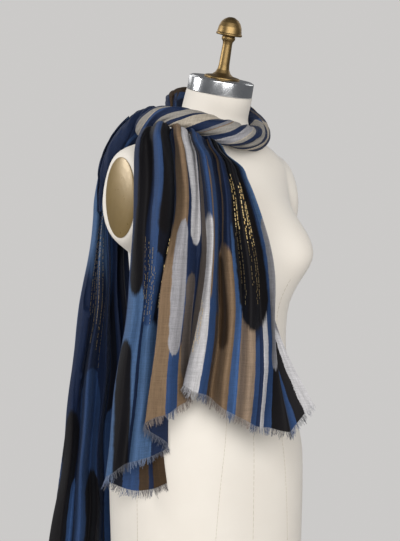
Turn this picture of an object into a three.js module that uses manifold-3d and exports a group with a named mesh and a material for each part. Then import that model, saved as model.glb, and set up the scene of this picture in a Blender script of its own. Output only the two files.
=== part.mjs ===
// A long fringed scarf worn once round the neck of a dress form on a stand.
// Millimetres, +Z up. The origin is the middle of the base's underside, the form faces -Y,
// and its right side is at -X. One end of the scarf falls over the form's right breast, the
// cloth goes behind the neck and round its front as a twisted roll, and the other end hangs
// behind the right shoulder.
import * as THREE from "three";
import { mergeVertices } from "three/addons/utils/BufferGeometryUtils.js";
import Module from "manifold-3d";

const wasm = await Module();
wasm.setup();

const GAP = 0.3; // between pieces that touch
const FORM_BOTTOM = 660;
const FORM_SIDES = 38;
const POLE_RADIUS = 14;
const COLLAR_RADIUS = 32;
const COLLAR_HEIGHT = 22;
const BASE_RADIUS = 190;
const BASE_HEIGHT = 30;
const ARM_X = 172; // the armholes' flat sides
const ARM_BACK = 12; // their middle lies this far behind the axis
const ARM_Z = 1284;
const ARM_HALF_DEPTH = 50;
const ARM_HALF_HEIGHT = 78;
const PLATE_HALF_DEPTH = 42;
const PLATE_HALF_HEIGHT = 66;
const PLATE_THICKNESS = 5;
const BUST_Z = 1197;
const BUST_RISE = 52;
const BUST_ANGLE = 37; // degrees to each side of straight ahead
const BUST_SPREAD = 25; // degrees
const BUST_ABOVE = 82;
const BUST_BELOW = 62;
const SECTION_POWER = 2.5; // a torso section is rounder than a box and fuller than an ellipse
const NECK_TOP = 1463;
const NECK_TILT = THREE.MathUtils.degToRad(15); // the neck's top leans forward
const BAND_RADIUS = 55;
const BAND_HEIGHT = 24;
const KNOB_RADIUS = 22;
const KNOB_HEIGHT = 128; // from the neck band to the knob's top

const CLOTH = 1.5; // the wall that stands for the cloth
const CLEARANCE = 2.9; // of the cloth's middle from the form
const FALL_CLEARANCE = 5.1; // of the front end's middle from the roll's
const TAIL_CLEARANCE = 2.7; // of the back end's middle from the shoulder roll's
const SCARF_TURN = THREE.MathUtils.degToRad(-38); // the scarf hangs over the form's right front
const FRINGE = 13;
const FRINGE_STRIP = 3;
const FRINGE_WIDTH = 1.1;

// The form's horizontal sections. forward is how far the section's middle lies in front.
const FORM_SECTIONS = [
  { z: 660, forward: 0, width: 158, front: 113, back: 118 },
  { z: 668, forward: 0, width: 164, front: 120, back: 126 },
  { z: 740, forward: 0, width: 167, front: 124, back: 132 },
  { z: 830, forward: 0, width: 168, front: 126, back: 134 },
  { z: 870, forward: 0, width: 165, front: 126, back: 129 },
  { z: 911, forward: 0, width: 154, front: 124, back: 114 },
  { z: 960, forward: 0, width: 141, front: 122, back: 94 },
  { z: 1030, forward: 0, width: 127, front: 120, back: 68 },
  { z: 1080, forward: 0, width: 128, front: 118, back: 69 },
  { z: 1130, forward: 0, width: 132, front: 116, back: 81 },
  { z: 1200, forward: -1, width: 140, front: 111, back: 96 },
  { z: 1260, forward: -5, width: 150, front: 100, back: 103 },
  { z: 1310, forward: -9, width: 160, front: 89, back: 101 },
  { z: 1335, forward: -10, width: 163, front: 82, back: 95 },
  { z: 1347, forward: -10, width: 161, front: 78, back: 90 },
  { z: 1360, forward: -8, width: 149, front: 73, back: 82 },
  { z: 1370, forward: -5, width: 134, front: 69, back: 75 },
  { z: 1380, forward: -1, width: 113, front: 66, back: 68 },
  { z: 1390, forward: 3, width: 92, front: 64, back: 62 },
  { z: 1400, forward: 6, width: 77, front: 62, back: 57 },
  { z: 1410, forward: 9, width: 67, front: 60, back: 55 },
  { z: 1425, forward: 15, width: 59, front: 57, back: 55 },
  { z: 1463, forward: 31, width: 55, front: 55, back: 55 },
];

// The lengthwise folds of the end over the breast, from its rear layer round the left edge and
// across to the right edge. x is across the scarf's front, at four heights; out is how far the
// fold stands in front of the hanging surface at the chest and at the hem.
const FALL_FOLDS = [
  { topX: -104, topZ: 1389, chestX: -95, waistX: -97, hemX: -67, hemZ: 826, chestOut: -13, hemOut: -25 },
  { topX: -109, topZ: 1391, chestX: -103, waistX: -105, hemX: -93, hemZ: 817, chestOut: -16, hemOut: -29 },
  { topX: -114, topZ: 1392, chestX: -110, waistX: -117, hemX: -126, hemZ: 818, chestOut: -14, hemOut: -26 },
  { topX: -119, topZ: 1393, chestX: -118, waistX: -130, hemX: -163, hemZ: 832, chestOut: -4, hemOut: -12 },
  { topX: -111, topZ: 1397, chestX: -109, waistX: -121, hemX: -149, hemZ: 848, chestOut: 7, hemOut: 4 },
  { topX: -99, topZ: 1402, chestX: -95, waistX: -108, hemX: -130, hemZ: 861, chestOut: 2, hemOut: -4 },
  { topX: -78, topZ: 1406, chestX: -72, waistX: -92, hemX: -110, hemZ: 867, chestOut: 12, hemOut: 4 },
  { topX: -66, topZ: 1406, chestX: -56, waistX: -75, hemX: -82, hemZ: 877, chestOut: -6, hemOut: -13 },
  { topX: -61, topZ: 1404, chestX: -49, waistX: -64, hemX: -64, hemZ: 890, chestOut: -15, hemOut: -19 },
  { topX: -58, topZ: 1402, chestX: -53, waistX: -74, hemX: -101, hemZ: 918, chestOut: -4, hemOut: 9 },
  { topX: -54, topZ: 1402, chestX: -49, waistX: -68, hemX: -89, hemZ: 936, chestOut: 4, hemOut: 13 },
  { topX: -45, topZ: 1401, chestX: -37, waistX: -50, hemX: -66, hemZ: 942, chestOut: 13, hemOut: 15 },
  { topX: -36, topZ: 1400, chestX: -26, waistX: -35, hemX: -50, hemZ: 953, chestOut: 6, hemOut: 4 },
  { topX: -28, topZ: 1398, chestX: -16, waistX: -24, hemX: -28, hemZ: 968, chestOut: -4, hemOut: -9 },
  { topX: -24, topZ: 1397, chestX: -7, waistX: -13, hemX: -39, hemZ: 983, chestOut: 2, hemOut: 9 },
  { topX: -16, topZ: 1394, chestX: 4, waistX: -3, hemX: -21, hemZ: 977, chestOut: 12, hemOut: 19 },
  { topX: -8, topZ: 1392, chestX: 12, waistX: 8, hemX: -3, hemZ: 973, chestOut: 3, hemOut: 7 },
  { topX: 0, topZ: 1389, chestX: 19, waistX: 17, hemX: 6, hemZ: 963, chestOut: -7, hemOut: -11 },
  { topX: 7, topZ: 1386, chestX: 29, waistX: 34, hemX: 21, hemZ: 954, chestOut: 7, hemOut: 10 },
  { topX: 13, topZ: 1383, chestX: 39, waistX: 50, hemX: 37, hemZ: 938, chestOut: -3, hemOut: -5 },
  { topX: 20, topZ: 1380, chestX: 48, waistX: 67, hemX: 55, hemZ: 929, chestOut: 8, hemOut: 9 },
  { topX: 26, topZ: 1377, chestX: 57, waistX: 84, hemX: 76, hemZ: 921, chestOut: -2, hemOut: -6 },
  { topX: 31, topZ: 1374, chestX: 66, waistX: 100, hemX: 93, hemZ: 919, chestOut: 4, hemOut: 3 },
  { topX: 34, topZ: 1372, chestX: 73, waistX: 110, hemX: 113, hemZ: 915, chestOut: 7, hemOut: 9, sway: 9 },
  { topX: 31, topZ: 1370, chestX: 66, waistX: 92, hemX: 129, hemZ: 920, chestOut: -9, hemOut: -8, sway: 4 },
  { topX: 33, topZ: 1369, chestX: 67, waistX: 96, hemX: 166, hemZ: 952, chestOut: -13, hemOut: -14 },
];
const FALL_CHEST_Z = 1276;
const FALL_WAIST_Z = 1110;
const FALL_HANGING_ROWS = 11;

// Its first rows come out from under the roll and turn down: how far they lie towards the
// viewer of its front, how far below the top, and the share of the folds' depth there.
const FALL_BROW = [
  { depth: 80, drop: 9, share: 0.1 },
  { depth: 95, drop: 2, share: 0.3 },
  { depth: 110, drop: 1, share: 0.5 },
  { depth: 125, drop: 9, share: 0.7 },
  { depth: 138, drop: 24, share: 0.9 },
];

// How far the hanging surface of that end lies towards the viewer of its front.
const FALL_HANG = [
  { z: 800, depth: 187 },
  { z: 900, depth: 187 },
  { z: 1000, depth: 187 },
  { z: 1100, depth: 187 },
  { z: 1200, depth: 188 },
  { z: 1250, depth: 179 },
  { z: 1300, depth: 165 },
  { z: 1340, depth: 151 },
  { z: 1365, depth: 142 },
  { z: 1385, depth: 136 },
];

// The folds of the end behind the shoulder, from its turned left edge to its right edge.
// x is across and y away from the front, at the top, at the waist and at the hem.
const TAIL_FOLDS = [
  { topX: -177, topY: 1, waistX: -214, waistY: 22, hemX: -262, hemY: 24, hemZ: 604 },
  { topX: -183, topY: -11, waistX: -226, waistY: 2, hemX: -281, hemY: 0, hemZ: 600 },
  { topX: -179, topY: -21, waistX: -216, waistY: -16, hemX: -263, hemY: -22, hemZ: 604 },
  { topX: -175, topY: -11, waistX: -205, waistY: 6, hemX: -249, hemY: 8, hemZ: 611 },
  { topX: -170, topY: -19, waistX: -195, waistY: -22, hemX: -232, hemY: -28, hemZ: 607 },
  { topX: -167, topY: -7, waistX: -185, waistY: 6, hemX: -215, hemY: 10, hemZ: 617 },
  { topX: -163, topY: -13, waistX: -174, waistY: -14, hemX: -196, hemY: -18, hemZ: 612 },
  { topX: -164, topY: 1, waistX: -170, waistY: 20, hemX: -184, hemY: 28, hemZ: 623 },
  { topX: -156, topY: -1, waistX: -152, waistY: 6, hemX: -160, hemY: 16, hemZ: 618 },
  { topX: -158, topY: 13, waistX: -156, waistY: 44, hemX: -164, hemY: 62, hemZ: 628 },
  { topX: -152, topY: 13, waistX: -138, waistY: 36, hemX: -134, hemY: 54, hemZ: 622 },
  { topX: -156, topY: 25, waistX: -142, waistY: 68, hemX: -136, hemY: 96, hemZ: 634 },
  { topX: -150, topY: 29, waistX: -130, waistY: 84, hemX: -110, hemY: 108, hemZ: 640 },
];
const TAIL_TOP_Z = 1352;
const TAIL_WAIST_Z = 1030;
const TAIL_ROWS = 13;

// The scarf's loop, as rolls of cloth. width is half the roll's size away from the neck,
// height half its size upright, twist the turn of its folds in degrees, and lean how far a
// point moves to the right for each millimetre that it lies above the path.
const LOOP = [
  { x: -63, y: -30, z: 1422, width: 10, height: 13, twist: -40, lean: 0 },
  { x: -63, y: 14, z: 1444, width: 12, height: 27, twist: -55, lean: 0 },
  { x: -41, y: 54, z: 1451, width: 13, height: 34, twist: -70, lean: 0 },
  { x: 12, y: 74, z: 1446, width: 14, height: 34, twist: -80, lean: 0 },
  { x: 64, y: 54, z: 1426, width: 18, height: 29, twist: -60, lean: 0 },
  { x: 86, y: 12, z: 1404, width: 22, height: 24, twist: -25, lean: 0 },
  { x: 80, y: -37, z: 1387, width: 22, height: 21, twist: 25, lean: 0 },
  { x: 59, y: -77, z: 1383, width: 24, height: 21, twist: 80, lean: 0 },
  { x: 29, y: -101, z: 1389, width: 25, height: 21, twist: 135, lean: 0 },
  { x: -4, y: -111, z: 1401, width: 24, height: 20, twist: 185, lean: 0 },
  { x: -36, y: -107, z: 1410, width: 22, height: 18.5, twist: 225, lean: 0 },
  { x: -68, y: -92, z: 1418, width: 20, height: 18, twist: 260, lean: 0.1 },
  { x: -93, y: -68, z: 1414, width: 19, height: 21, twist: 285, lean: 0.3 },
  { x: -114, y: -37, z: 1404, width: 18, height: 26, twist: 300, lean: 0.45 },
];
const LOOP_CUT = 5.2; // the row at which the roll before the neck parts from the one behind it
const ROLL_SHOULDER = [
  { x: -86, y: 14, z: 1438, width: 13, height: 16, twist: 0, lean: 0 },
  { x: -104, y: -2, z: 1425, width: 17, height: 20, twist: 12, lean: 0 },
  { x: -123, y: -14, z: 1408, width: 20, height: 22, twist: 24, lean: 0 },
  { x: -143, y: -23, z: 1387, width: 20, height: 20, twist: 36, lean: 0 },
  { x: -161, y: -28, z: 1357, width: 17, height: 18, twist: 48, lean: 0 },
  { x: -171, y: -29, z: 1322, width: 12, height: 14, twist: 58, lean: 0 },
];
const ROLL_GAP = 0.04; // between the two rolls, in rows
const ROLL_STEP = 3.6; // from one turn of the cloth to the next
const ROLL_LOBES = 3;
const ROLL_LOBE_DEPTH = 0.07;

// A smooth curve through values at rising knots.
function curveThrough(knots, values) {
  const last = knots.length - 1;
  const slope = (i) => {
    const a = Math.max(i - 1, 0);
    const b = Math.min(i + 1, last);
    return (values[b] - values[a]) / (knots[b] - knots[a]);
  };
  return (at) => {
    const t = THREE.MathUtils.clamp(at, knots[0], knots[last]);
    let i = 0;
    while (i < last - 1 && t > knots[i + 1]) i++;
    const span = knots[i + 1] - knots[i];
    const s = (t - knots[i]) / span;
    const s2 = s * s;
    const s3 = s2 * s;
    return (
      (2 * s3 - 3 * s2 + 1) * values[i] +
      (s3 - 2 * s2 + s) * span * slope(i) +
      (3 * s2 - 2 * s3) * values[i + 1] +
      (s3 - s2) * span * slope(i + 1)
    );
  };
}

// One smooth curve for each named column of a table, over the column that orders its rows.
function columnCurves(rows, order, names) {
  const knots = rows.map((row, i) => (order === "row" ? i : row[order]));
  const made = {};
  for (const name of names) made[name] = curveThrough(knots, rows.map((row) => row[name]));
  return made;
}

const formCurves = columnCurves(FORM_SECTIONS, "z", ["forward", "width", "front", "back"]);

// The form's radius from its section's middle, at an angle in radians and a height.
function formRadius(angle, z) {
  const across = Math.abs(Math.cos(angle));
  const along = Math.sin(angle);
  const depth = along < 0 ? formCurves.front(z) : formCurves.back(z);
  const power = THREE.MathUtils.lerp(SECTION_POWER, 2, THREE.MathUtils.smoothstep(z, 1370, 1410));
  const sum = (across / formCurves.width(z)) ** power + (Math.abs(along) / depth) ** power;
  let radius = sum ** (-1 / power);
  const offFront = Math.abs(THREE.MathUtils.radToDeg(angle) + 90);
  const offBust = (Math.min(offFront, 360 - offFront) - BUST_ANGLE) / BUST_SPREAD;
  const bustHeight = (z - BUST_Z) / (z > BUST_Z ? BUST_ABOVE : BUST_BELOW);
  radius += BUST_RISE * Math.exp(-(offBust ** 2) - bustHeight ** 2);
  const armAlong = radius * along - formCurves.forward(z) - ARM_BACK;
  const offArm = Math.hypot(armAlong / ARM_HALF_DEPTH, (z - ARM_Z) / ARM_HALF_HEIGHT);
  const flat = 1 - THREE.MathUtils.smoothstep(offArm, 0.84, 1.32);
  return flat > 0 ? THREE.MathUtils.lerp(radius, ARM_X / across, flat) : radius;
}

// How far outside the form a point is, along the radius. Negative is inside.
function outsideForm(point) {
  const y = point.y + formCurves.forward(point.z);
  if (point.z > NECK_TOP + BAND_HEIGHT || point.z < FORM_BOTTOM - CLEARANCE) return Infinity;
  return Math.hypot(point.x, y) - formRadius(Math.atan2(y, point.x), point.z);
}

// Moves a point of the scarf, in the scarf's turned frame, clear of the form.
function clearOfForm(point, gap) {
  const up = new THREE.Vector3(0, 0, 1);
  const place = point.clone().applyAxisAngle(up, SCARF_TURN);
  const step = 0.5;
  for (let pass = 0; pass < 6; pass++) {
    const outside = outsideForm(place);
    if (outside > gap * 3) break;
    const slope = new THREE.Vector3(
      outsideForm(place.clone().add(new THREE.Vector3(step, 0, 0))) - outside,
      outsideForm(place.clone().add(new THREE.Vector3(0, step, 0))) - outside,
      outsideForm(place.clone().add(new THREE.Vector3(0, 0, step))) - outside,
    ).divideScalar(step);
    const missing = gap - outside / slope.length();
    if (missing <= 0) break;
    place.addScaledVector(slope.normalize(), missing);
  }
  return place.applyAxisAngle(up, -SCARF_TURN);
}

// A closed geometry from points and triangles, turned to face out.
function closedGeometry(points, triangles) {
  let volume = 0;
  for (const [a, b, c] of triangles) {
    volume += points[a].dot(new THREE.Vector3().crossVectors(points[b], points[c]));
  }
  const faces = volume < 0 ? triangles.map(([a, b, c]) => [a, c, b]) : triangles;
  const geometry = new THREE.BufferGeometry();
  const place = points.flatMap((p) => [p.x, p.y, p.z]);
  geometry.setAttribute("position", new THREE.Float32BufferAttribute(place, 3));
  geometry.setIndex(faces.flat());
  return geometry;
}

// The unit normals of a grid of points, rows by columns.
function gridNormals(grid) {
  const rows = grid.length;
  const columns = grid[0].length;
  return grid.map((line, r) =>
    line.map((point, c) => {
      const down = grid[Math.min(r + 1, rows - 1)][c].clone().sub(grid[Math.max(r - 1, 0)][c]);
      const across = line[Math.min(c + 1, columns - 1)].clone().sub(line[Math.max(c - 1, 0)]);
      return down.cross(across).normalize();
    }),
  );
}

// A wall of the given thickness on both sides of a grid of points.
function wall(grid, thickness) {
  const rows = grid.length;
  const columns = grid[0].length;
  const normals = gridNormals(grid);
  const points = [];
  for (const side of [0.5, -0.5]) {
    grid.forEach((line, r) =>
      line.forEach((p, c) =>
        points.push(p.clone().addScaledVector(normals[r][c], side * thickness)),
      ),
    );
  }
  const at = (side, r, c) => side * rows * columns + r * columns + c;
  const triangles = [];
  const quad = (a, b, c, d) => triangles.push([a, b, c], [a, c, d]);
  for (let r = 0; r < rows - 1; r++) {
    for (let c = 0; c < columns - 1; c++) {
      quad(at(0, r, c), at(0, r + 1, c), at(0, r + 1, c + 1), at(0, r, c + 1));
      quad(at(1, r, c), at(1, r, c + 1), at(1, r + 1, c + 1), at(1, r + 1, c));
    }
    quad(at(0, r, 0), at(1, r, 0), at(1, r + 1, 0), at(0, r + 1, 0));
    const e = columns - 1;
    quad(at(0, r, e), at(0, r + 1, e), at(1, r + 1, e), at(1, r, e));
  }
  for (let c = 0; c < columns - 1; c++) {
    quad(at(0, 0, c), at(0, 0, c + 1), at(1, 0, c + 1), at(1, 0, c));
    const e = rows - 1;
    quad(at(0, e, c), at(1, e, c), at(1, e, c + 1), at(0, e, c + 1));
  }
  return closedGeometry(points, triangles);
}

// A closed body from rings of points, from the lowest ring to the highest, with flat ends.
function loft(rings) {
  const sides = rings[0].length;
  const points = rings.flat();
  const triangles = [];
  for (let r = 0; r < rings.length - 1; r++) {
    for (let i = 0; i < sides; i++) {
      const j = (i + 1) % sides;
      const a = r * sides;
      const b = a + sides;
      triangles.push([a + i, a + j, b + j], [a + i, b + j, b + i]);
    }
  }
  for (const [ring, turned] of [[0, true], [rings.length - 1, false]]) {
    const middle = new THREE.Vector3();
    rings[ring].forEach((p) => middle.addScaledVector(p, 1 / sides));
    const hub = points.push(middle) - 1;
    for (let i = 0; i < sides; i++) {
      const a = ring * sides + i;
      const b = ring * sides + ((i + 1) % sides);
      triangles.push(turned ? [hub, b, a] : [hub, a, b]);
    }
  }
  return closedGeometry(points, triangles);
}

function manifoldOf(geometry) {
  const bare = new THREE.BufferGeometry();
  bare.setAttribute("position", geometry.getAttribute("position"));
  bare.setIndex(geometry.index);
  const merged = mergeVertices(bare, 1e-4);
  return new wasm.Manifold(
    new wasm.Mesh({
      numProp: 3,
      vertProperties: merged.attributes.position.array,
      triVerts: new Uint32Array(merged.index.array),
    }),
  );
}

function geometryOf(manifold) {
  const mesh = manifold.getMesh();
  const geometry = new THREE.BufferGeometry();
  geometry.setAttribute("position", new THREE.Float32BufferAttribute(mesh.vertProperties, 3));
  geometry.setIndex(new THREE.BufferAttribute(mesh.triVerts, 1));
  return geometry;
}

const material = (color, roughness, metalness = 0) =>
  new THREE.MeshStandardMaterial({ color, roughness, metalness });
const LINEN = material(0xd9d0c0, 0.85);
const BRASS = material(0xb08d4c, 0.35, 0.9);
const STEEL = material(0xb9bcc0, 0.2, 1);
const PLATE = material(0xb49a6a, 0.3, 0.4);
const IRON = material(0x24231f, 0.55, 0.6);
const NAVY = material(0x1c2c52, 0.8);
const STRIPED = material(0x6f6a66, 0.8);

function part(name, geometry, finish) {
  const mesh = new THREE.Mesh(geometry, finish);
  mesh.name = name;
  return mesh;
}

// The torso and neck, one smooth closed body.
function formBody() {
  const heights = [
    660, 664, 672, 705, 750, 800, 850, 895, 935, 975, 1020, 1065, 1105, 1140, 1168, 1190, 1210,
    1232, 1255, 1280, 1305, 1325, 1342, 1356, 1367, 1376, 1384, 1392, 1402, 1415, 1435, 1463,
  ];
  const rings = heights.map((z) => {
    const lean = Math.tan(NECK_TILT) * THREE.MathUtils.smoothstep(z, 1400, NECK_TOP);
    return Array.from({ length: FORM_SIDES }, (_, i) => {
      const even = ((i + 0.5) * 2 * Math.PI) / FORM_SIDES - Math.PI;
      const angle = even - 0.25 * Math.sin(2 * even); // closer together at the armholes
      const radius = formRadius(angle, z);
      const back = radius * Math.sin(angle);
      const y = back - formCurves.forward(z);
      return new THREE.Vector3(radius * Math.cos(angle), y, z + back * lean);
    });
  });
  return part("form_body", loft(rings), LINEN);
}

function lathe(profile, sides) {
  const outline = profile.map(([radius, height]) => new THREE.Vector2(radius, height));
  const geometry = new THREE.LatheGeometry(outline, sides);
  geometry.rotateX(Math.PI / 2);
  return geometry;
}

// The metal band and the turned knob on the neck's top, in a group that leans with the neck.
function neckTop() {
  const top = new THREE.Group();
  top.position.set(0, -formCurves.forward(NECK_TOP), NECK_TOP);
  top.rotation.x = NECK_TILT;
  const band = lathe(
    [
      [0, GAP],
      [BAND_RADIUS, GAP],
      [BAND_RADIUS, BAND_HEIGHT],
      [BAND_RADIUS - 2, BAND_HEIGHT + 1.5],
      [0, BAND_HEIGHT + 1.5],
    ],
    28,
  );
  const from = BAND_HEIGHT + 1.5 + GAP;
  const rim = KNOB_HEIGHT - 30;
  const knob = lathe(
    [
      [0, from],
      [30, from],
      [30, from + 3],
      [14, from + 8],
      [9, from + 20],
      [8, rim - 14],
      [11, rim - 6],
      [11, rim - 2],
      [KNOB_RADIUS, rim],
      [KNOB_RADIUS, rim + 3],
      [KNOB_RADIUS - 2.5, rim + 12],
      [KNOB_RADIUS - 7, rim + 22],
      [7, rim + 28.5],
      [0, KNOB_HEIGHT],
    ],
    20,
  );
  top.add(part("neck_band", band, STEEL), part("neck_knob", knob, BRASS));
  return top;
}

// A shallow oval plate that closes an armhole. side is 1 at the form's left and -1 at its right.
function armholePlate(name, side) {
  const shape = lathe(
    [
      [0, 0],
      [1, 0],
      [1, 0.35],
      [0.93, 0.75],
      [0.6, 0.95],
      [0, 1],
    ],
    28,
  );
  const plate = part(name, shape, PLATE);
  plate.scale.set(PLATE_HALF_HEIGHT, PLATE_HALF_DEPTH, PLATE_THICKNESS);
  plate.rotation.y = (side * Math.PI) / 2;
  plate.position.set(side * (ARM_X + GAP), ARM_BACK, ARM_Z);
  return plate;
}

function stand() {
  const group = new THREE.Group();
  const base = lathe(
    [
      [0, 0],
      [BASE_RADIUS, 0],
      [BASE_RADIUS, 8],
      [BASE_RADIUS - 6, 14],
      [60, 20],
      [26, BASE_HEIGHT],
      [0, BASE_HEIGHT],
    ],
    36,
  );
  const poleTop = FORM_BOTTOM - COLLAR_HEIGHT - GAP;
  const pole = lathe(
    [
      [0, BASE_HEIGHT + GAP],
      [POLE_RADIUS, BASE_HEIGHT + GAP],
      [POLE_RADIUS, poleTop - GAP],
      [0, poleTop - GAP],
    ],
    20,
  );
  const collar = lathe(
    [
      [0, poleTop],
      [POLE_RADIUS + 6, poleTop],
      [COLLAR_RADIUS, poleTop + 8],
      [COLLAR_RADIUS, FORM_BOTTOM - GAP],
      [0, FORM_BOTTOM - GAP],
    ],
    24,
  );
  group.add(part("stand_base", base, IRON));
  group.add(part("stand_pole", pole, STEEL));
  group.add(part("stand_collar", collar, IRON));
  return group;
}

// The scarf's end over the breast, as one line down for each fold.
const fallHang = columnCurves(FALL_HANG, "z", ["depth"]).depth;
const fallLines = FALL_FOLDS.map((fold) => {
  const knots = [fold.hemZ, FALL_WAIST_Z, FALL_CHEST_Z, fold.topZ];
  return {
    topZ: fold.topZ,
    hemZ: fold.hemZ,
    sway: fold.sway ?? 0,
    x: curveThrough(knots, [fold.hemX, fold.waistX, fold.chestX, fold.topX]),
    out: curveThrough(knots, [fold.hemOut, fold.hemOut, fold.chestOut, fold.chestOut * 0.45]),
  };
});

function fallLinePoint(line, row) {
  if (row < FALL_BROW.length) {
    const { depth, drop, share } = FALL_BROW[row];
    const out = depth + line.out(line.topZ) * share;
    return new THREE.Vector3(line.x(line.topZ), -out, line.topZ - drop);
  }
  const v = (row - FALL_BROW.length) / (FALL_HANGING_ROWS - 1);
  const z = THREE.MathUtils.lerp(line.topZ - 44, line.hemZ, v);
  const swayShare = THREE.MathUtils.smoothstep(v, 0.2, 0.6);
  const sway = line.sway * swayShare * Math.sin((v - 0.45) * 2.6 * Math.PI);
  return new THREE.Vector3(line.x(z) - sway, -fallHang(z) - line.out(z), z);
}

// The scarf's end behind the shoulder, in the same way.
const tailLines = TAIL_FOLDS.map((fold) => {
  const knots = [fold.hemZ, TAIL_WAIST_Z, TAIL_TOP_Z];
  return {
    hemZ: fold.hemZ,
    x: curveThrough(knots, [fold.hemX, fold.waistX, fold.topX]),
    y: curveThrough(knots, [fold.hemY, fold.waistY, fold.topY]),
  };
});

function tailLinePoint(line, row) {
  const z = THREE.MathUtils.lerp(TAIL_TOP_Z, line.hemZ, row / (TAIL_ROWS - 1));
  return new THREE.Vector3(line.x(z), line.y(z), z);
}

// A sheet's grid: points on each fold line, then a smooth curve across the folds.
function foldedSheet(lines, linePoint, rows, stepsPerFold, clearOfRolls) {
  const grid = [];
  const knots = lines.map((_, i) => i);
  for (let r = 0; r < rows; r++) {
    const places = lines.map((line) => linePoint(line, r));
    const across = ["x", "y", "z"].map((axis) => curveThrough(knots, places.map((p) => p[axis])));
    const columns = (lines.length - 1) * stepsPerFold;
    grid.push(
      Array.from({ length: columns + 1 }, (_, c) => {
        const u = c / stepsPerFold;
        const place = new THREE.Vector3(...across.map((curve) => curve(u)));
        return clearOfForm(clearOfRolls(place), CLEARANCE);
      }),
    );
  }
  return grid;
}

const ROLL_COLUMNS = ["x", "y", "z", "width", "height", "twist", "lean"];
const loop = columnCurves(LOOP, "row", ROLL_COLUMNS);
const shoulder = columnCurves(ROLL_SHOULDER, "row", ROLL_COLUMNS);

// The middle of a roll's path and the two directions across it.
function rollFrame(curves, t) {
  const at = (place) => new THREE.Vector3(curves.x(place), curves.y(place), curves.z(place));
  const ahead = at(t + 0.05).sub(at(t - 0.05)).normalize();
  const sideways = new THREE.Vector3().crossVectors(ahead, new THREE.Vector3(0, 0, 1)).normalize();
  const upright = new THREE.Vector3().crossVectors(sideways, ahead).normalize();
  return { middle: at(t), sideways, upright };
}

// A roll of cloth along a path between two places of it, wound as a loose spiral.
function clothRoll(curves, from, to, turns, rows, columns) {
  const grid = [];
  for (let r = 0; r < rows; r++) {
    const t = THREE.MathUtils.lerp(from, to, r / (rows - 1));
    const { middle, sideways, upright } = rollFrame(curves, t);
    const turn = THREE.MathUtils.degToRad(curves.twist(t));
    const row = [];
    for (let c = 0; c < columns; c++) {
      const share = c / (columns - 1);
      const angle = turn + share * turns * 2 * Math.PI;
      const inner = ROLL_STEP * turns * (1 - share);
      const lobe = 1 + ROLL_LOBE_DEPTH * Math.cos(ROLL_LOBES * (angle - turn));
      const w = (curves.width(t) - inner) * lobe * Math.cos(angle);
      const h = (curves.height(t) - inner) * lobe * Math.sin(angle);
      const point = middle.clone().addScaledVector(sideways, w).addScaledVector(upright, h);
      point.x += curves.lean(t) * h;
      row.push(clearOfForm(point, CLEARANCE));
    }
    grid.push(row);
  }
  return grid;
}

// Moves a point of the scarf clear of the roll along a path from one place of it to its end.
function clearOfRoll(point, curves, from, to, gap) {
  let best = null;
  for (let t = from; t <= to; t += 0.1) {
    const frame = rollFrame(curves, t);
    const off = point.clone().sub(frame.middle);
    if (!best || off.lengthSq() < best.off.lengthSq()) best = { ...frame, off, t };
  }
  const across = best.off.dot(best.sideways);
  const up = best.off.dot(best.upright);
  const wide = curves.width(best.t) + gap;
  const tall = curves.height(best.t) + gap;
  const inside = Math.hypot(across / wide, up / tall);
  if (inside >= 1) return point;
  const more = 1 / inside - 1;
  return point
    .clone()
    .addScaledVector(best.sideways, across * more)
    .addScaledVector(best.upright, up * more);
}

// A strand from a root to a tip, with three sides.
function strand(root, tip, width) {
  const ahead = tip.clone().sub(root).normalize();
  const sideways = new THREE.Vector3(0, 1, 0).cross(ahead).normalize();
  const outward = new THREE.Vector3().crossVectors(sideways, ahead);
  const ring = (middle, size) =>
    [0, 1, 2].map((i) => {
      const angle = (i * 2 * Math.PI) / 3;
      return middle
        .clone()
        .addScaledVector(sideways, size * Math.cos(angle))
        .addScaledVector(outward, size * Math.sin(angle));
    });
  return loft([ring(root, width / 2), ring(tip, width / 4)]);
}

// The fringe along a sheet's hem: a narrow strip under the edge and strands that leave it.
function fringe(name, grid, count, finish) {
  const last = grid.length - 1;
  const hem = grid[last];
  const normals = gridNormals(grid)[last];
  const away = hem.map((p, i) => {
    const along = hem[Math.min(i + 1, hem.length - 1)].clone().sub(hem[Math.max(i - 1, 0)]);
    const way = along.cross(normals[i]).normalize();
    return way.dot(grid[last - 1][i].clone().sub(p)) > 0 ? way.negate() : way;
  });
  const lines = [GAP, FRINGE_STRIP].map((drop) =>
    hem.map((p, i) => p.clone().addScaledVector(away[i], drop)),
  );
  const pieces = [manifoldOf(wall(lines, CLOTH))];
  for (let i = 0; i < count; i++) {
    const place = ((i + 0.5) / count) * (hem.length - 1);
    const c = Math.floor(place);
    const root = lines[0][c].clone().lerp(lines[1][c], 0.6);
    const next = lines[0][c + 1].clone().lerp(lines[1][c + 1], 0.6);
    root.lerp(next, place - c);
    const way = away[c].clone().lerp(away[c + 1], place - c);
    way.add(new THREE.Vector3(0, 0, -0.6)).normalize();
    const lean = new THREE.Vector3(Math.sin(i * 2.4), Math.sin(i * 1.7), 0).multiplyScalar(0.12);
    const length = FRINGE * (0.85 + 0.15 * Math.sin(i * 3.1));
    const tip = root.clone().addScaledVector(way.add(lean), length);
    pieces.push(manifoldOf(strand(root, tip, FRINGE_WIDTH)));
  }
  const joined = pieces.reduce((whole, piece) => whole.add(piece));
  return part(name, geometryOf(joined), finish);
}

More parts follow.
